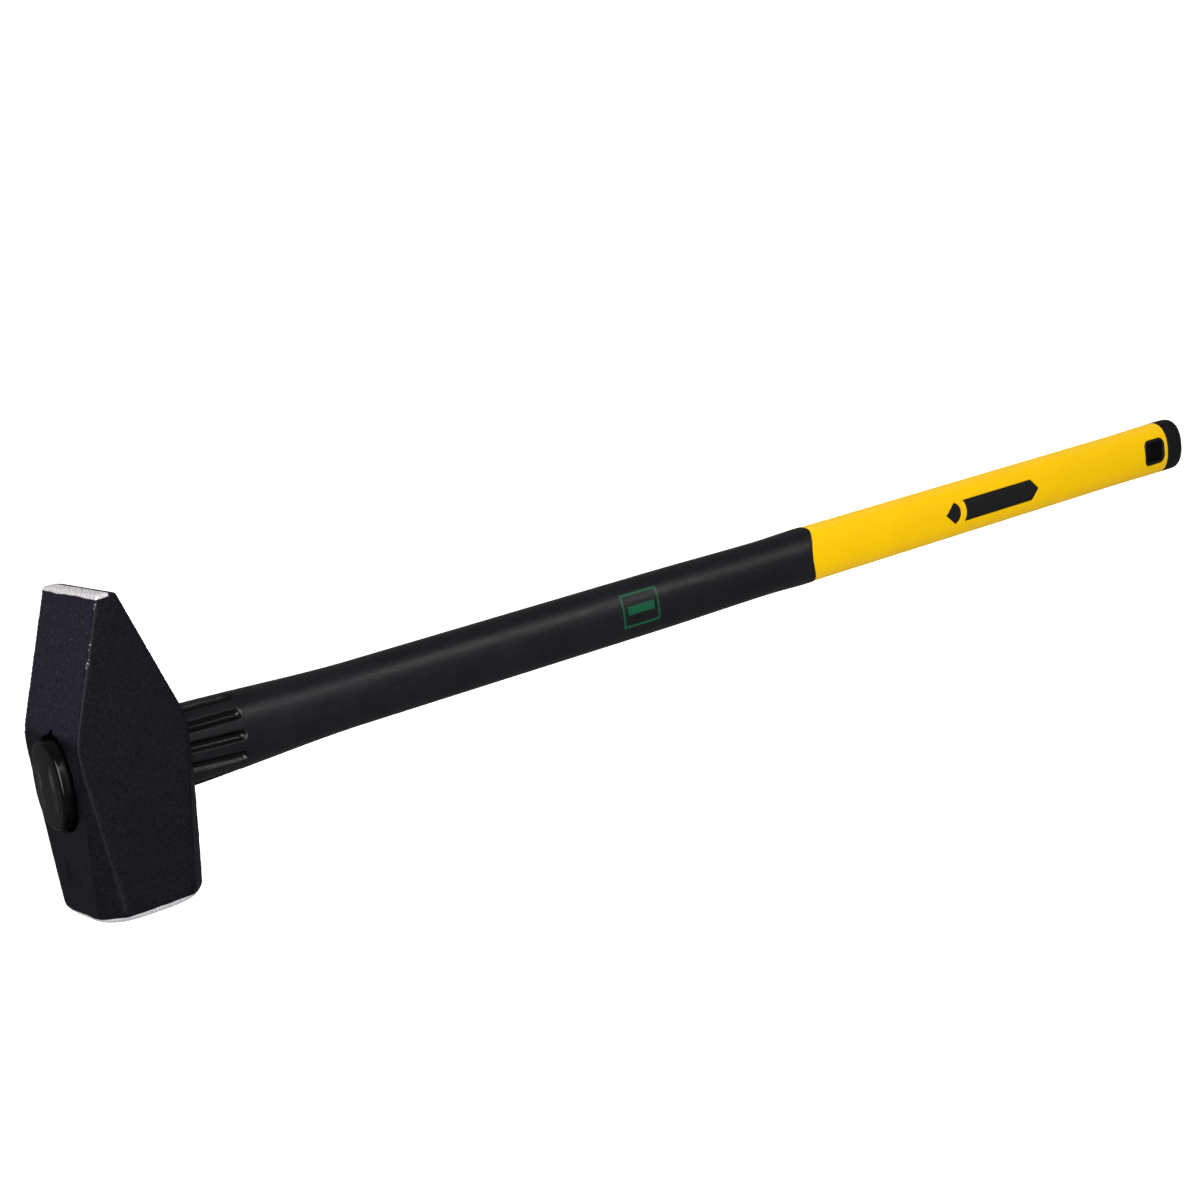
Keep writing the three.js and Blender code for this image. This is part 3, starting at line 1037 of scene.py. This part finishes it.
            # marks the slope that is painted paler as light, where the pale pricks go too
            vert[painted_light_and_pricks] = self.painted_light_and_pricks_share(vert.co, vert.normal)
            spot = vert.co / MM
            slow = noise.noise(spot * 0.075)
            fine = noise.noise(spot * 0.33 + Vector((7.0, 1.0, 3.0)))
            nicked = max(noise.noise(spot * 0.42 + Vector((3.0, 9.0, 5.0))) - 0.18, 0.0)
            painted = self.face_y + 0.5 * MM < vert.co.y < self.peen_y - 2.5 * MM
            depth = self.dent * (0.5 + 0.5 * slow) + self.fine_dent * (0.5 + 0.5 * fine)
            depth += self.nick * nicked * vert[layer]
            vert.co -= vert.normal * (depth if painted else 0.25 * depth)
        bm.to_mesh(piece.data)
        bm.free()

    @staticmethod
    def mean_round(vert: Vert, values: Sequence[float]) -> float:
        """The mean of the values at a vertex's neighbours."""
        return sum(values[e.other_vert(vert).index] for e in vert.link_edges) / max(len(vert.link_edges), 1)

    @staticmethod
    def exposure(vert: Vert) -> float:
        """How strongly the surface bulges at a vertex: the mean slope down to its neighbours."""
        slopes = [(vert.co - edge.other_vert(vert).co).normalized().dot(vert.normal)
                  for edge in vert.link_edges]
        return sum(slopes) / max(len(slopes), 1)

    def build(self) -> Piece:
        """Makes and dresses the head.

        Returns:
            The piece.
        """
        bm = self.wedge_block()
        self.chamfer_corners(bm)
        self.crown_face(bm)
        bmesh.ops.recalc_face_normals(bm, faces=bm.faces[:])
        piece = as_object("hammer_head_forging", bm)
        for tool in (self.eye_tool(), self.eye_point_tool(), self.stamp_tool()):
            cut(piece, tool)
        remesh = piece.modifiers.new("even", "REMESH")
        remesh.mode = "VOXEL"
        remesh.voxel_size = self.voxel
        soften = piece.modifiers.new("soften", "SMOOTH")
        soften.factor = 0.5
        soften.iterations = 3
        apply_modifiers(piece)
        self.weather(piece)
        piece.data.shade_smooth()
        finish = ForgedSteel(self.face_y / MM, self.peen_y / MM)
        return finish_piece(piece, finish.material(), Slot.FORGED, "hammer_head")


# ---- Handle ----


@dataclass
class HandleShape:
    """The outside of the handle along X: fluted neck, shaft, waist before the joint, and grip."""

    neck: Oval = Oval(29.8 * MM, 21.6 * MM, 16.0 * MM)
    shaft: Oval = Oval(148 * MM, 17.8 * MM, 13.0 * MM)
    waist: Oval = Oval(448 * MM, 17.1 * MM, 12.4 * MM)
    waist_reach: float = 90 * MM
    lip: Oval = Oval(JACKET_END, 17.9 * MM, 13.0 * MM)
    lip_reach: float = 3.5 * MM
    lip_round: float = 1.5 * MM
    grip: Oval = Oval(790 * MM, 17.6 * MM, 12.0 * MM)
    tail: Oval = Oval(GRIP_END + 0.3 * MM, 18.1 * MM, 12.3 * MM)
    joint_dip: float = 5.5 * MM
    joint_half_span: float = 16.0 * MM
    joint_fade: float = 34.0 * MM

    def at(self, x: float) -> Oval:
        """The outside at a place along the handle.

        Args:
            x: the place.

        Returns:
            The oval there.
        """
        if x < self.shaft.x:
            return self.between(x, self.neck.x, self.shaft.x, self.neck, self.shaft)
        if x < self.waist.x:
            return self.between(x, self.waist.x - self.waist_reach, self.waist.x, self.shaft, self.waist)
        if x < self.lip.x:
            return self.between(x, self.waist.x, self.lip.x - self.lip_reach, self.waist, self.lip)
        return self.between(x, self.grip.x, self.tail.x, self.grip, self.tail)

    @staticmethod
    def between(x: float, start: float, end: float, first: Oval, last: Oval) -> Oval:
        """An oval on a smooth step from one to another.

        Args:
            x: the place.
            start: where the step starts.
            end: where it ends.
            first: the oval at the start.
            last: the oval at the end.

        Returns:
            The oval at x.
        """
        t = min(max((x - start) / (end - start), 0.0), 1.0)
        t = t * t * (3 - 2 * t)
        return Oval(x, first.height + (last.height - first.height) * t,
                    first.width + (last.width - first.width) * t)

    def dip_joint(self, verts: Iterable[Vert]) -> None:
        """Draws the line between jacket and grip towards the head on the broad sides.

        Args:
            verts: vertices of a piece on either side of the line.
        """
        for vert in verts:
            across = min(abs(vert.co.y) / self.joint_half_span, 1.0)
            near = max(1 - abs(vert.co.x - self.lip.x) / self.joint_fade, 0.0)
            vert.co.x -= self.joint_dip * (1 - across**2) * near

    def rings(self, start: float, end: float, step: float) -> list[Oval]:
        """The outside at even steps no longer than the given one, both ends included."""
        count = max(math.ceil((end - start) / step), 1)
        return [self.at(start + (end - start) * i / count) for i in range(count + 1)]


SHAPE = HandleShape()


@dataclass
class Button:
    """The handle's end in the eye: an oval stud with a bevelled rim and a slightly domed face."""

    height: float = (BUTTON_HIGH.y - BUTTON_LOW.y) / 2
    width: float = (BUTTON_HIGH.z - BUTTON_LOW.z) / 2
    taper: float = 0.8 * MM
    bevel: float = 1.4 * MM
    dome: float = 0.5 * MM

    def build(self) -> Piece:
        """Makes and dresses the button.

        Returns:
            The piece.
        """
        face = Oval(BUTTON_LOW.x, self.height - self.taper, self.width - self.taper)
        rim = face.shrunk(self.bevel, BUTTON_LOW.x + self.dome)
        ovals = []
        for share in (0.08, 0.3, 0.5, 0.7, 0.85, 0.95):
            rise = self.dome * share**2
            ovals.append(Oval(BUTTON_LOW.x + rise, rim.height * share, rim.width * share))
        ovals.append(rim)
        for out, back in quarter_turn(5):
            x = rim.x + self.bevel * 0.9 * back
            ovals.append(Oval(x, rim.height + self.bevel * out, rim.width + self.bevel * out))
        ovals.append(Oval(BUTTON_HIGH.x, self.height, self.width))
        bm = bmesh.new()
        loft(bm, ovals, 128)
        close_ends(bm)
        piece = as_object("eye_button_stud", bm, 50)
        gloss = HighlightStreakStud("gloss_black", colour=(0.0008, 0.0008, 0.0010), shade=(0.0020, 0.0020, 0.0024),
                           rough=(0.12, 0.20), grain_mm=0.6, grain_depth_mm=0.001, wave_depth_mm=0.04,
                           specular=0.28)
        return finish_piece(piece, gloss.material(), Slot.GLOSS, "eye_button")


@dataclass
class Jacket:
    """The black moulding from the eye to the grip, with flutes round its neck."""

    segments: int = 320
    flutes: int = 10
    flute_end: float = 70 * MM
    flute_radius: float = 3.1 * MM
    flute_depth: float = 2.3 * MM
    flute_wall: float = 0.30
    flute_lean: float = 1.9 * MM
    flute_closing: float = 0.14
    flute_root: float = 38 * MM
    stub: Oval = Oval(-18 * MM, 20.4 * MM, 15.0 * MM)

    def flute_places(self) -> list[Vector]:
        """Points spaced evenly round the neck, on an oval of half sizes 1.

        Returns:
            The places, as shares of the half height and half width.
        """
        size = SHAPE.at(self.flute_end - 15 * MM)
        steps = 720
        outline = []
        for i in range(steps + 1):
            angle = math.pi / 2 + 2 * math.pi * i / steps
            y, z = on_outline(math.cos(angle), math.sin(angle))
            outline.append(Vector((y * size.height, z * size.width)))
        lengths = [0.0]
        for first, second in zip(outline, outline[1:]):
            lengths.append(lengths[-1] + (second - first).length)
        places = []
        for flute in range(self.flutes):
            target = lengths[-1] * flute / self.flutes
            nearest = min(range(steps), key=lambda i: abs(lengths[i] - target))
            places.append(Vector((outline[nearest].x / size.height, outline[nearest].y / size.width)))
        return places

    def press_flutes(self, bm: Mesh) -> None:
        """Sinks the round-ended flutes into the neck and marks how deep in a flute each point is, for the
        painted shade and polish there.

        Args:
            bm: the jacket's mesh.
        """
        places = self.flute_places()
        straight_end = self.flute_end - self.flute_radius
        bm.normal_update()
        layer = bm.verts.layers.float.new("flute")
        for vert in bm.verts:
            if not SHAPE.neck.x - MM < vert.co.x < self.flute_end + MM:
                continue
            size = SHAPE.at(vert.co.x)
            here = Vector((vert.co.y, vert.co.z - AXIS_Z))
            across = min((here - self.flute_middle(p, size)).length for p in places)
            away = math.hypot(across, max(vert.co.x - straight_end, 0.0)) / self.flute_radius
            down = max(1 - away**2, 0.0)
            # the flute attribute: painted shade and polish, full away from a channel's rim
            vert[layer] = min(down / self.flute_wall, 1.0)
            vert.co -= vert.normal * self.flute_depth * down

    def flute_middle(self, place: Vector, size: Oval) -> Vector:
        """Where a flute's middle line is: it leans a little as it nears the head.

        Args:
            place: the flute's place, as shares of the half height and half width.
            size: the neck's oval there.

        Returns:
            Y and Z from the handle's axis.
        """
        near = (self.flute_end - size.x) / (self.flute_end - self.flute_root)
        on_broad_side = 1 - abs(place.x) ** 3
        y = place.x * size.height * (1 - self.flute_closing * near * on_broad_side)
        y += self.flute_lean * near * on_broad_side
        return Vector((y, math.copysign(surface_lift(size, y), place.y)))

    def build(self) -> Piece:
        """Makes and dresses the jacket.

        Returns:
            The piece.
        """
        shoulder = SHAPE.neck.x
        ovals = [self.stub, Oval(shoulder - 0.05 * MM, self.stub.height, self.stub.width)]
        ovals += SHAPE.rings(shoulder, self.flute_end + 4 * MM, 0.7 * MM)
        ovals += SHAPE.rings(self.flute_end + 8 * MM, SHAPE.lip.x - SHAPE.lip_round, 3 * MM)
        for out, back in quarter_turn(8):
            ovals.append(SHAPE.lip.shrunk(SHAPE.lip_round * back, SHAPE.lip.x - SHAPE.lip_round * (1 - out)))
        bm = bmesh.new()
        loft(bm, ovals, self.segments)
        close_ends(bm)
        SHAPE.dip_joint(bm.verts)
        self.press_flutes(bm)
        piece = as_object("shaft_jacket_moulding", bm, 60)
        satin = PrintedShaft("satin_black", colour=(0.0040, 0.0038, 0.0056), shade=(0.0074, 0.0071, 0.0098),
                             rough=(0.33, 0.45), grain_mm=0.55, grain_depth_mm=0.02, wave_depth_mm=0.10,
                             specular=0.32, mottle=0.05)
        return finish_piece(piece, satin.material(), Slot.SATIN, "shaft_jacket")


@dataclass(frozen=True)
class PadOutline:
    """The outline of a pad let into the grip, seen from the broad side.

    The short pad is a round end on a point. The long one starts with an arc round the same hub, runs
    straight to its shoulders and ends in a point.
    """

    name: str
    radius: float
    point: float
    shoulder: float | None = None
    hub: float = 615.1 * MM
    half_height: float = 6.9 * MM
    step: float = 0.8 * MM

    def corners(self, grow: float) -> list[Vector]:
        """The outline's arc and corners.

        Args:
            grow: how far the outline is moved out.

        Returns:
            Points with X along the handle and Y across it.
        """
        side = self.half_height + grow
        radius = self.radius + (grow if self.shoulder is None else -grow)
        half_arc = math.asin(min(side / radius, 1.0))
        arc = [Vector((self.hub + radius * math.cos(a), radius * math.sin(a)))
               for a in (half_arc * (i / 12 - 1) for i in range(25))]
        if self.shoulder is None:
            return [*arc, Vector((self.point - 1.5 * grow, 0))]
        shoulder = self.shoulder + 0.5 * grow
        tip = Vector((self.point + 1.5 * grow, 0))
        return [*reversed(arc), Vector((shoulder, -side)), tip, Vector((shoulder, side))]

    def points(self, grow: float) -> list[Vector]:
        """The outline with its straight runs split into short steps.

        Args:
            grow: how far the outline is moved out.

        Returns:
            The points, as many for every grow.
        """
        plain, grown = self.corners(0.0), self.corners(grow)
        points = []
        for index, corner in enumerate(grown):
            following = (index + 1) % len(grown)
            count = max(math.ceil((plain[following] - plain[index]).length / self.step), 1)
            points += [corner.lerp(grown[following], i / count) for i in range(count)]
        return points


def on_side(point: Vector, side: int, lift: float, fixed: float | None = None) -> Vector:
    """Lifts a point of an outline onto a broad side of the handle.

    Args:
        point: X along the handle and Y across it.
        side: 1 for the upper side, -1 for the lower.
        lift: how far over the surface it goes.
        fixed: a distance from the axis that stands in for the surface.

    Returns:
        The place.
    """
    reach = surface_lift(SHAPE.at(point.x), point.y) if fixed is None else fixed
    return Vector((point.x, point.y, AXIS_Z + side * (reach + lift)))


def surface_bar(name: str, loops: Sequence[tuple[Sequence[Vector], float | None, float]],
                side: Side) -> Piece:
    """A closed bar whose loops follow the handle's curved outside.

    Args:
        name: the object's name.
        loops: outlines with as many points each, a fixed distance from the axis or None to follow
            the surface, and how far the loop stands over that.
        side: the broad side that it is on.

    Returns:
        The bar.
    """
    bm = bmesh.new()
    band(bm, [[on_side(point, side.value, lift, fixed) for point in outline]
              for outline, fixed, lift in loops])
    close_ends(bm)
    return as_object(name, bm)


TIP_PAD = PadOutline("tip", 7.05 * MM, 608.5 * MM)
LONG_PAD = PadOutline("long", 13.2 * MM, 701.5 * MM, 694.6 * MM)


@dataclass
class Grip:
    """The yellow skin with its windows, the soft pads in them and the lined hanging hole."""

    segments: int = 192
    gap: float = 0.3 * MM
    pad_sink: float = 2.2 * MM
    lip_width: float = 0.45 * MM
    end_round: float = 0.4 * MM
    pad_round: float = 0.5 * MM
    pad_below: float = 0.05 * MM
    hole_corner: float = 5.0 * MM
    hole_wall: float = 2.0 * MM
    pads: tuple[PadOutline, ...] = (TIP_PAD, LONG_PAD)

    def rounded_square(self, grow: float, steps: int = 8) -> list[Vector]:
        """The hanging hole's outline.

        Args:
            grow: how far it is moved out.
            steps: points in each corner.

        Returns:
            The points, anticlockwise.
        """
        middle = (BUSH_LOW + BUSH_HIGH) / 2
        half_x = (BUSH_HIGH.x - BUSH_LOW.x) / 2 + grow
        half_y = (BUSH_HIGH.y - BUSH_LOW.y) / 2 + grow
        corner = self.hole_corner + grow
        points = []
        for quarter, (sx, sy) in enumerate(((1, 1), (-1, 1), (-1, -1), (1, -1))):
            hub = Vector((middle.x + sx * (half_x - corner), middle.y + sy * (half_y - corner)))
            for i in range(steps + 1):
                angle = (quarter + i / steps) * math.pi / 2
                points.append(hub + corner * Vector((math.cos(angle), math.sin(angle))))
        return points

    def window_tool(self, outline: Callable[[float], list[Vector]], side: Side, floor: float) -> Piece:
        """A cutter with a flared mouth, so that the window's edge comes out bevelled.

        Args:
            outline: gives the window's outline, moved out by its argument.
            side: the broad side that it cuts.
            floor: how far from the axis its bottom is.

        Returns:
            The cutter.
        """
        snug, flared = outline(self.gap), outline(self.gap + self.lip_width)
        loops = [(snug, floor, 0.0), (snug, None, -self.lip_width), (flared, None, 0.02 * MM),
                 (flared, None, 3 * MM)]
        return surface_bar("window_tool", loops, side)

    def skin(self) -> Piece:
        """Makes the yellow skin, cuts its windows and the hole.

        Returns:
            The piece.
        """
        start = SHAPE.lip.x + self.gap
        ovals = [SHAPE.at(start).shrunk(self.end_round)]
        ovals += SHAPE.rings(start + self.end_round, GRIP_END - self.end_round, 3 * MM)
        ovals.append(SHAPE.at(GRIP_END).shrunk(self.end_round))
        bm = bmesh.new()
        loft(bm, ovals, self.segments)
        close_ends(bm)
        SHAPE.dip_joint(bm.verts)
        piece = as_object("grip_skin_moulding", bm)
        floor = SHAPE.grip.width - self.pad_sink - self.gap
        for side in Side:
            for pad in self.pads:
                cut(piece, self.window_tool(pad.points, side, floor))
            cut(piece, self.window_tool(self.rounded_square, side, -1 * MM))
        piece.data.shade_smooth()
        piece.data.set_sharp_from_angle(angle=math.radians(30))
        yellow = MouldedPlastic("yellow_skin", colour=(0.82, 0.49, 0.001), shade=(0.78, 0.455, 0.001),
                                rough=(0.42, 0.56), grain_mm=0.7, grain_depth_mm=0.02, wave_depth_mm=0.08,
                                specular=0.09)
        return finish_piece(piece, yellow.material(), Slot.YELLOW, "grip_skin")

    def pad(self, outline: PadOutline, side: Side, material: bpy.types.Material) -> Piece:
        """Makes one soft pad, flush with the skin and rounded at its rim.

        Args:
            outline: its outline.
            side: the broad side that it is on.
            material: its finish.

        Returns:
            The piece.
        """
        floor = SHAPE.grip.width - self.pad_sink
        full = outline.points(0.0)
        middle = sum(full, Vector((0, 0))) / len(full)
        rim = -self.pad_below - self.pad_round
        loops = [(full, floor, 0.0), (full, None, rim)]
        for out, back in quarter_turn(3):
            loops.append((outline.points(-self.pad_round * back), None, rim + self.pad_round * out))
        for share in (0.9, 0.75, 0.6, 0.45, 0.3, 0.15, 0.04):
            ring = [Vector((middle.x + (p.x - middle.x) * (0.5 + 0.5 * share), p.y * share))
                    for p in outline.points(-self.pad_round)]
            loops.append((ring, None, -self.pad_below))
        piece = surface_bar(f"grip_pad_{outline.name}_{side.name.lower()}_inlay", loops, side)
        return finish_piece(piece, material, Slot.SOFT, f"grip_pad_{outline.name}_{side.name.lower()}")

    def bush(self) -> Piece:
        """Makes the hanging hole's lining: a tube with a rolled lip on each side.

        Returns:
            The piece.
        """
        wall, lip, roll = self.hole_wall, 0.5 * MM, 0.6 * MM
        stations = [(0.0, -1, -lip), (0.0, 1, -lip)]
        stations += [(-wall * 0.5 * back, 1, -lip + lip * out) for out, back in quarter_turn(4)]
        stations += [(-wall * 0.5 * (1 + out), 1, -roll * back) for out, back in quarter_turn(4)]
        stations.append((-wall, -1, -roll))
        stations += [(-wall * (1 - 0.5 * back), -1, -roll * (1 - out)) for out, back in quarter_turn(4)]
        stations += [(-wall * 0.5 * (1 - out), -1, -lip * back) for out, back in quarter_turn(3)]
        bm = bmesh.new()
        band(bm, [[on_side(point, side, lift) for point in self.rounded_square(grow)]
                  for grow, side, lift in stations])
        bmesh.ops.remove_doubles(bm, verts=bm.verts[:], dist=0.01 * MM)
        bmesh.ops.recalc_face_normals(bm, faces=bm.faces[:])
        piece = as_object("hang_hole_lining", bm, 50)
        black = MouldedPlastic("bush_black", colour=(0.003, 0.003, 0.0035), shade=(0.005, 0.005, 0.0055),
                               rough=(0.30, 0.42), grain_mm=0.5, grain_depth_mm=0.01, specular=0.30)
        return finish_piece(piece, black.material(), Slot.SATIN, "hang_hole_bush")

    def build(self) -> None:
        """Makes the skin, the pads and the lining."""
        self.skin()
        soft = MouldedPlastic("soft_black", colour=(0.0042, 0.0043, 0.0042), shade=(0.0068, 0.0069, 0.0068),
                              rough=(0.62, 0.80), grain_mm=0.45, grain_depth_mm=0.05, specular=0.20)
        material = soft.material()
        for outline in self.pads:
            for side in Side:
                self.pad(outline, side, material)
        self.bush()


@dataclass
class EndCap:
    """The black cap: a short full section and a rounded end with a flat middle."""

    height: float = 18.2 * MM
    width: float = 12.4 * MM
    round: float = 6.5 * MM
    start_round: float = 0.4 * MM

    def build(self) -> Piece:
        """Makes and dresses the cap.

        Returns:
            The piece.
        """
        start = SHAPE.tail.x
        full = Oval(start + self.start_round, self.height, self.width)
        ovals = [full.shrunk(self.start_round, start), full]
        ovals.append(Oval(CAP_END - self.round, self.height, self.width))
        for out, back in quarter_turn(12):
            ovals.append(full.shrunk(self.round * back, CAP_END - self.round * (1 - out)))
        for share in (0.75, 0.5, 0.25, 0.05):
            last = full.shrunk(self.round, CAP_END)
            ovals.append(Oval(CAP_END, last.height * share, last.width * share))
        bm = bmesh.new()
        loft(bm, ovals, 160)
        close_ends(bm)
        piece = as_object("end_cap_moulding", bm, 45)
        black = MouldedPlastic("cap_black", colour=(0.0022, 0.0022, 0.0027), shade=(0.0042, 0.0042, 0.0048),
                               rough=(0.40, 0.54), grain_mm=0.6, grain_depth_mm=0.03, specular=0.22)
        return finish_piece(piece, black.material(), Slot.SATIN, "end_cap")


# ---- Hidden pieces, floor, light and camera ----


def dress_hidden_pieces() -> None:
    """Gives the resin and the core rod, which stay CAD pieces, their materials."""
    finishes = {
        "eye_resin": CastOrRod("cast_resin", (0.024, 0.016, 0.010), (0.04, 0.03, 0.02)),
        "handle_core": CastOrRod("glass_fibre", (0.48, 0.45, 0.27), (0.58, 0.56, 0.40)),
    }
    for node, finish in finishes.items():
        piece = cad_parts[node]
        piece.data.materials.clear()
        piece.data.materials.append(finish.material())
        LOG.info("%s: kept from the frame", node)


@dataclass
class Studio:
    """A pale floor, soft lights and the camera."""

    camera_place: Triple = (-0.4635, 0.2786, 1.0365)
    right: Triple = (0.76523, -0.12966, 0.63057)
    up: Triple = (0.22986, 0.96997, -0.07949)
    lens: float = 66.9
    floor_half: float = 40.0
    floor_glow: float = 0.78
    world_glow: float = 0.15
    aim: Triple = (0.35, 0.0, 0.03)
    key_place: Triple = (-0.65, 0.38, 1.95)
    key_size: tuple[float, float] = (1.8, 1.8)
    key_watts: float = 63.0
    strip_place: Triple = (1.05, 0.54, 1.09)
    strip_aim: Triple = (0.6, 0.0, 0.03)
    strip_size: tuple[float, float] = (0.8, 0.13)
    strip_watts: float = 3.4

    def floor(self) -> None:
        """Lays the floor where the lying hammer touches it: the lower cheek's edge and the grip's end."""
        touch = SHAPE.tail
        run = touch.x - HEAD_HIGH.x
        rise = AXIS_Z - touch.width - HEAD_LOW.z
        slope = rise / run
        bm = bmesh.new()
        bmesh.ops.create_grid(bm, x_segments=2, y_segments=2, size=self.floor_half)
        for vert in bm.verts:
            vert.co.z = slope * (vert.co.x - HEAD_HIGH.x)
        piece = as_object("floor", bm)
        r = Recipe("floor_paper")
        mottled = r.noise(0.02, 3.0)
        colour = r.blend(mottled, (0.86, 0.86, 0.86), (0.90, 0.90, 0.90))
        r.set(Base_Color=colour, Roughness=0.9, Specular_IOR_Level=0.1, Emission_Strength=self.floor_glow)
        r.shader.inputs["Emission Color"].default_value = (1, 1, 1, 1)
        piece.data.materials.append(r.material)
        piece.visible_glossy = False

    @staticmethod
    def area_light(name: str, place: Vector, aim: Vector, size: tuple[float, float], power: float) -> None:
        """Hangs one soft light.

        Args:
            name: its name.
            place: where it is.
            aim: the point that it faces.
            size: its two sides.
            power: in watts.
        """
        data = bpy.data.lights.new(name, "AREA")
        data.shape = "RECTANGLE"
        data.size, data.size_y = size
        data.energy = power
        light = bpy.data.objects.new(name, data)
        light.location = place
        light.rotation_euler = (aim - place).to_track_quat("-Z", "Y").to_euler()
        bpy.context.scene.collection.objects.link(light)

    def lights(self) -> None:
        """Sets the soft lights and the grey surroundings."""
        self.area_light("key", Vector(self.key_place), Vector(self.aim), self.key_size, self.key_watts)
        self.area_light("strip", Vector(self.strip_place), Vector(self.strip_aim), self.strip_size,
                        self.strip_watts)
        world = bpy.data.worlds.new("surroundings")
        world.use_nodes = True
        world.node_tree.nodes["Background"].inputs["Color"].default_value = (1, 1, 1, 1)
        world.node_tree.nodes["Background"].inputs["Strength"].default_value = self.world_glow
        bpy.context.scene.world = world

    def camera(self) -> None:
        """Sets the camera."""
        data = bpy.data.cameras.new("camera")
        data.lens = self.lens
        data.sensor_width = 36.0
        data.clip_end = 50.0
        camera = bpy.data.objects.new("camera", data)
        right, up = Vector(self.right).normalized(), Vector(self.up)
        back = right.cross(up).normalized()
        up = back.cross(right)
        turn = Matrix((right, up, back)).transposed()
        camera.matrix_world = Matrix.Translation(self.camera_place) @ turn.to_4x4()
        bpy.context.scene.collection.objects.link(camera)
        bpy.context.scene.camera = camera

    def build(self) -> None:
        """Makes the floor, the lights and the camera."""
        self.floor()
        self.lights()
        self.camera()
        bpy.context.scene.view_settings.view_transform = "Standard"


def main() -> None:
    """Builds the whole hammer."""
    logging.basicConfig(level=logging.INFO, format="%(name)s %(message)s")
    Studio().build()
    Head().build()
    Button().build()
    Jacket().build()
    Grip().build()
    EndCap().build()
    dress_hidden_pieces()


if __name__ == "__main__":
    main()
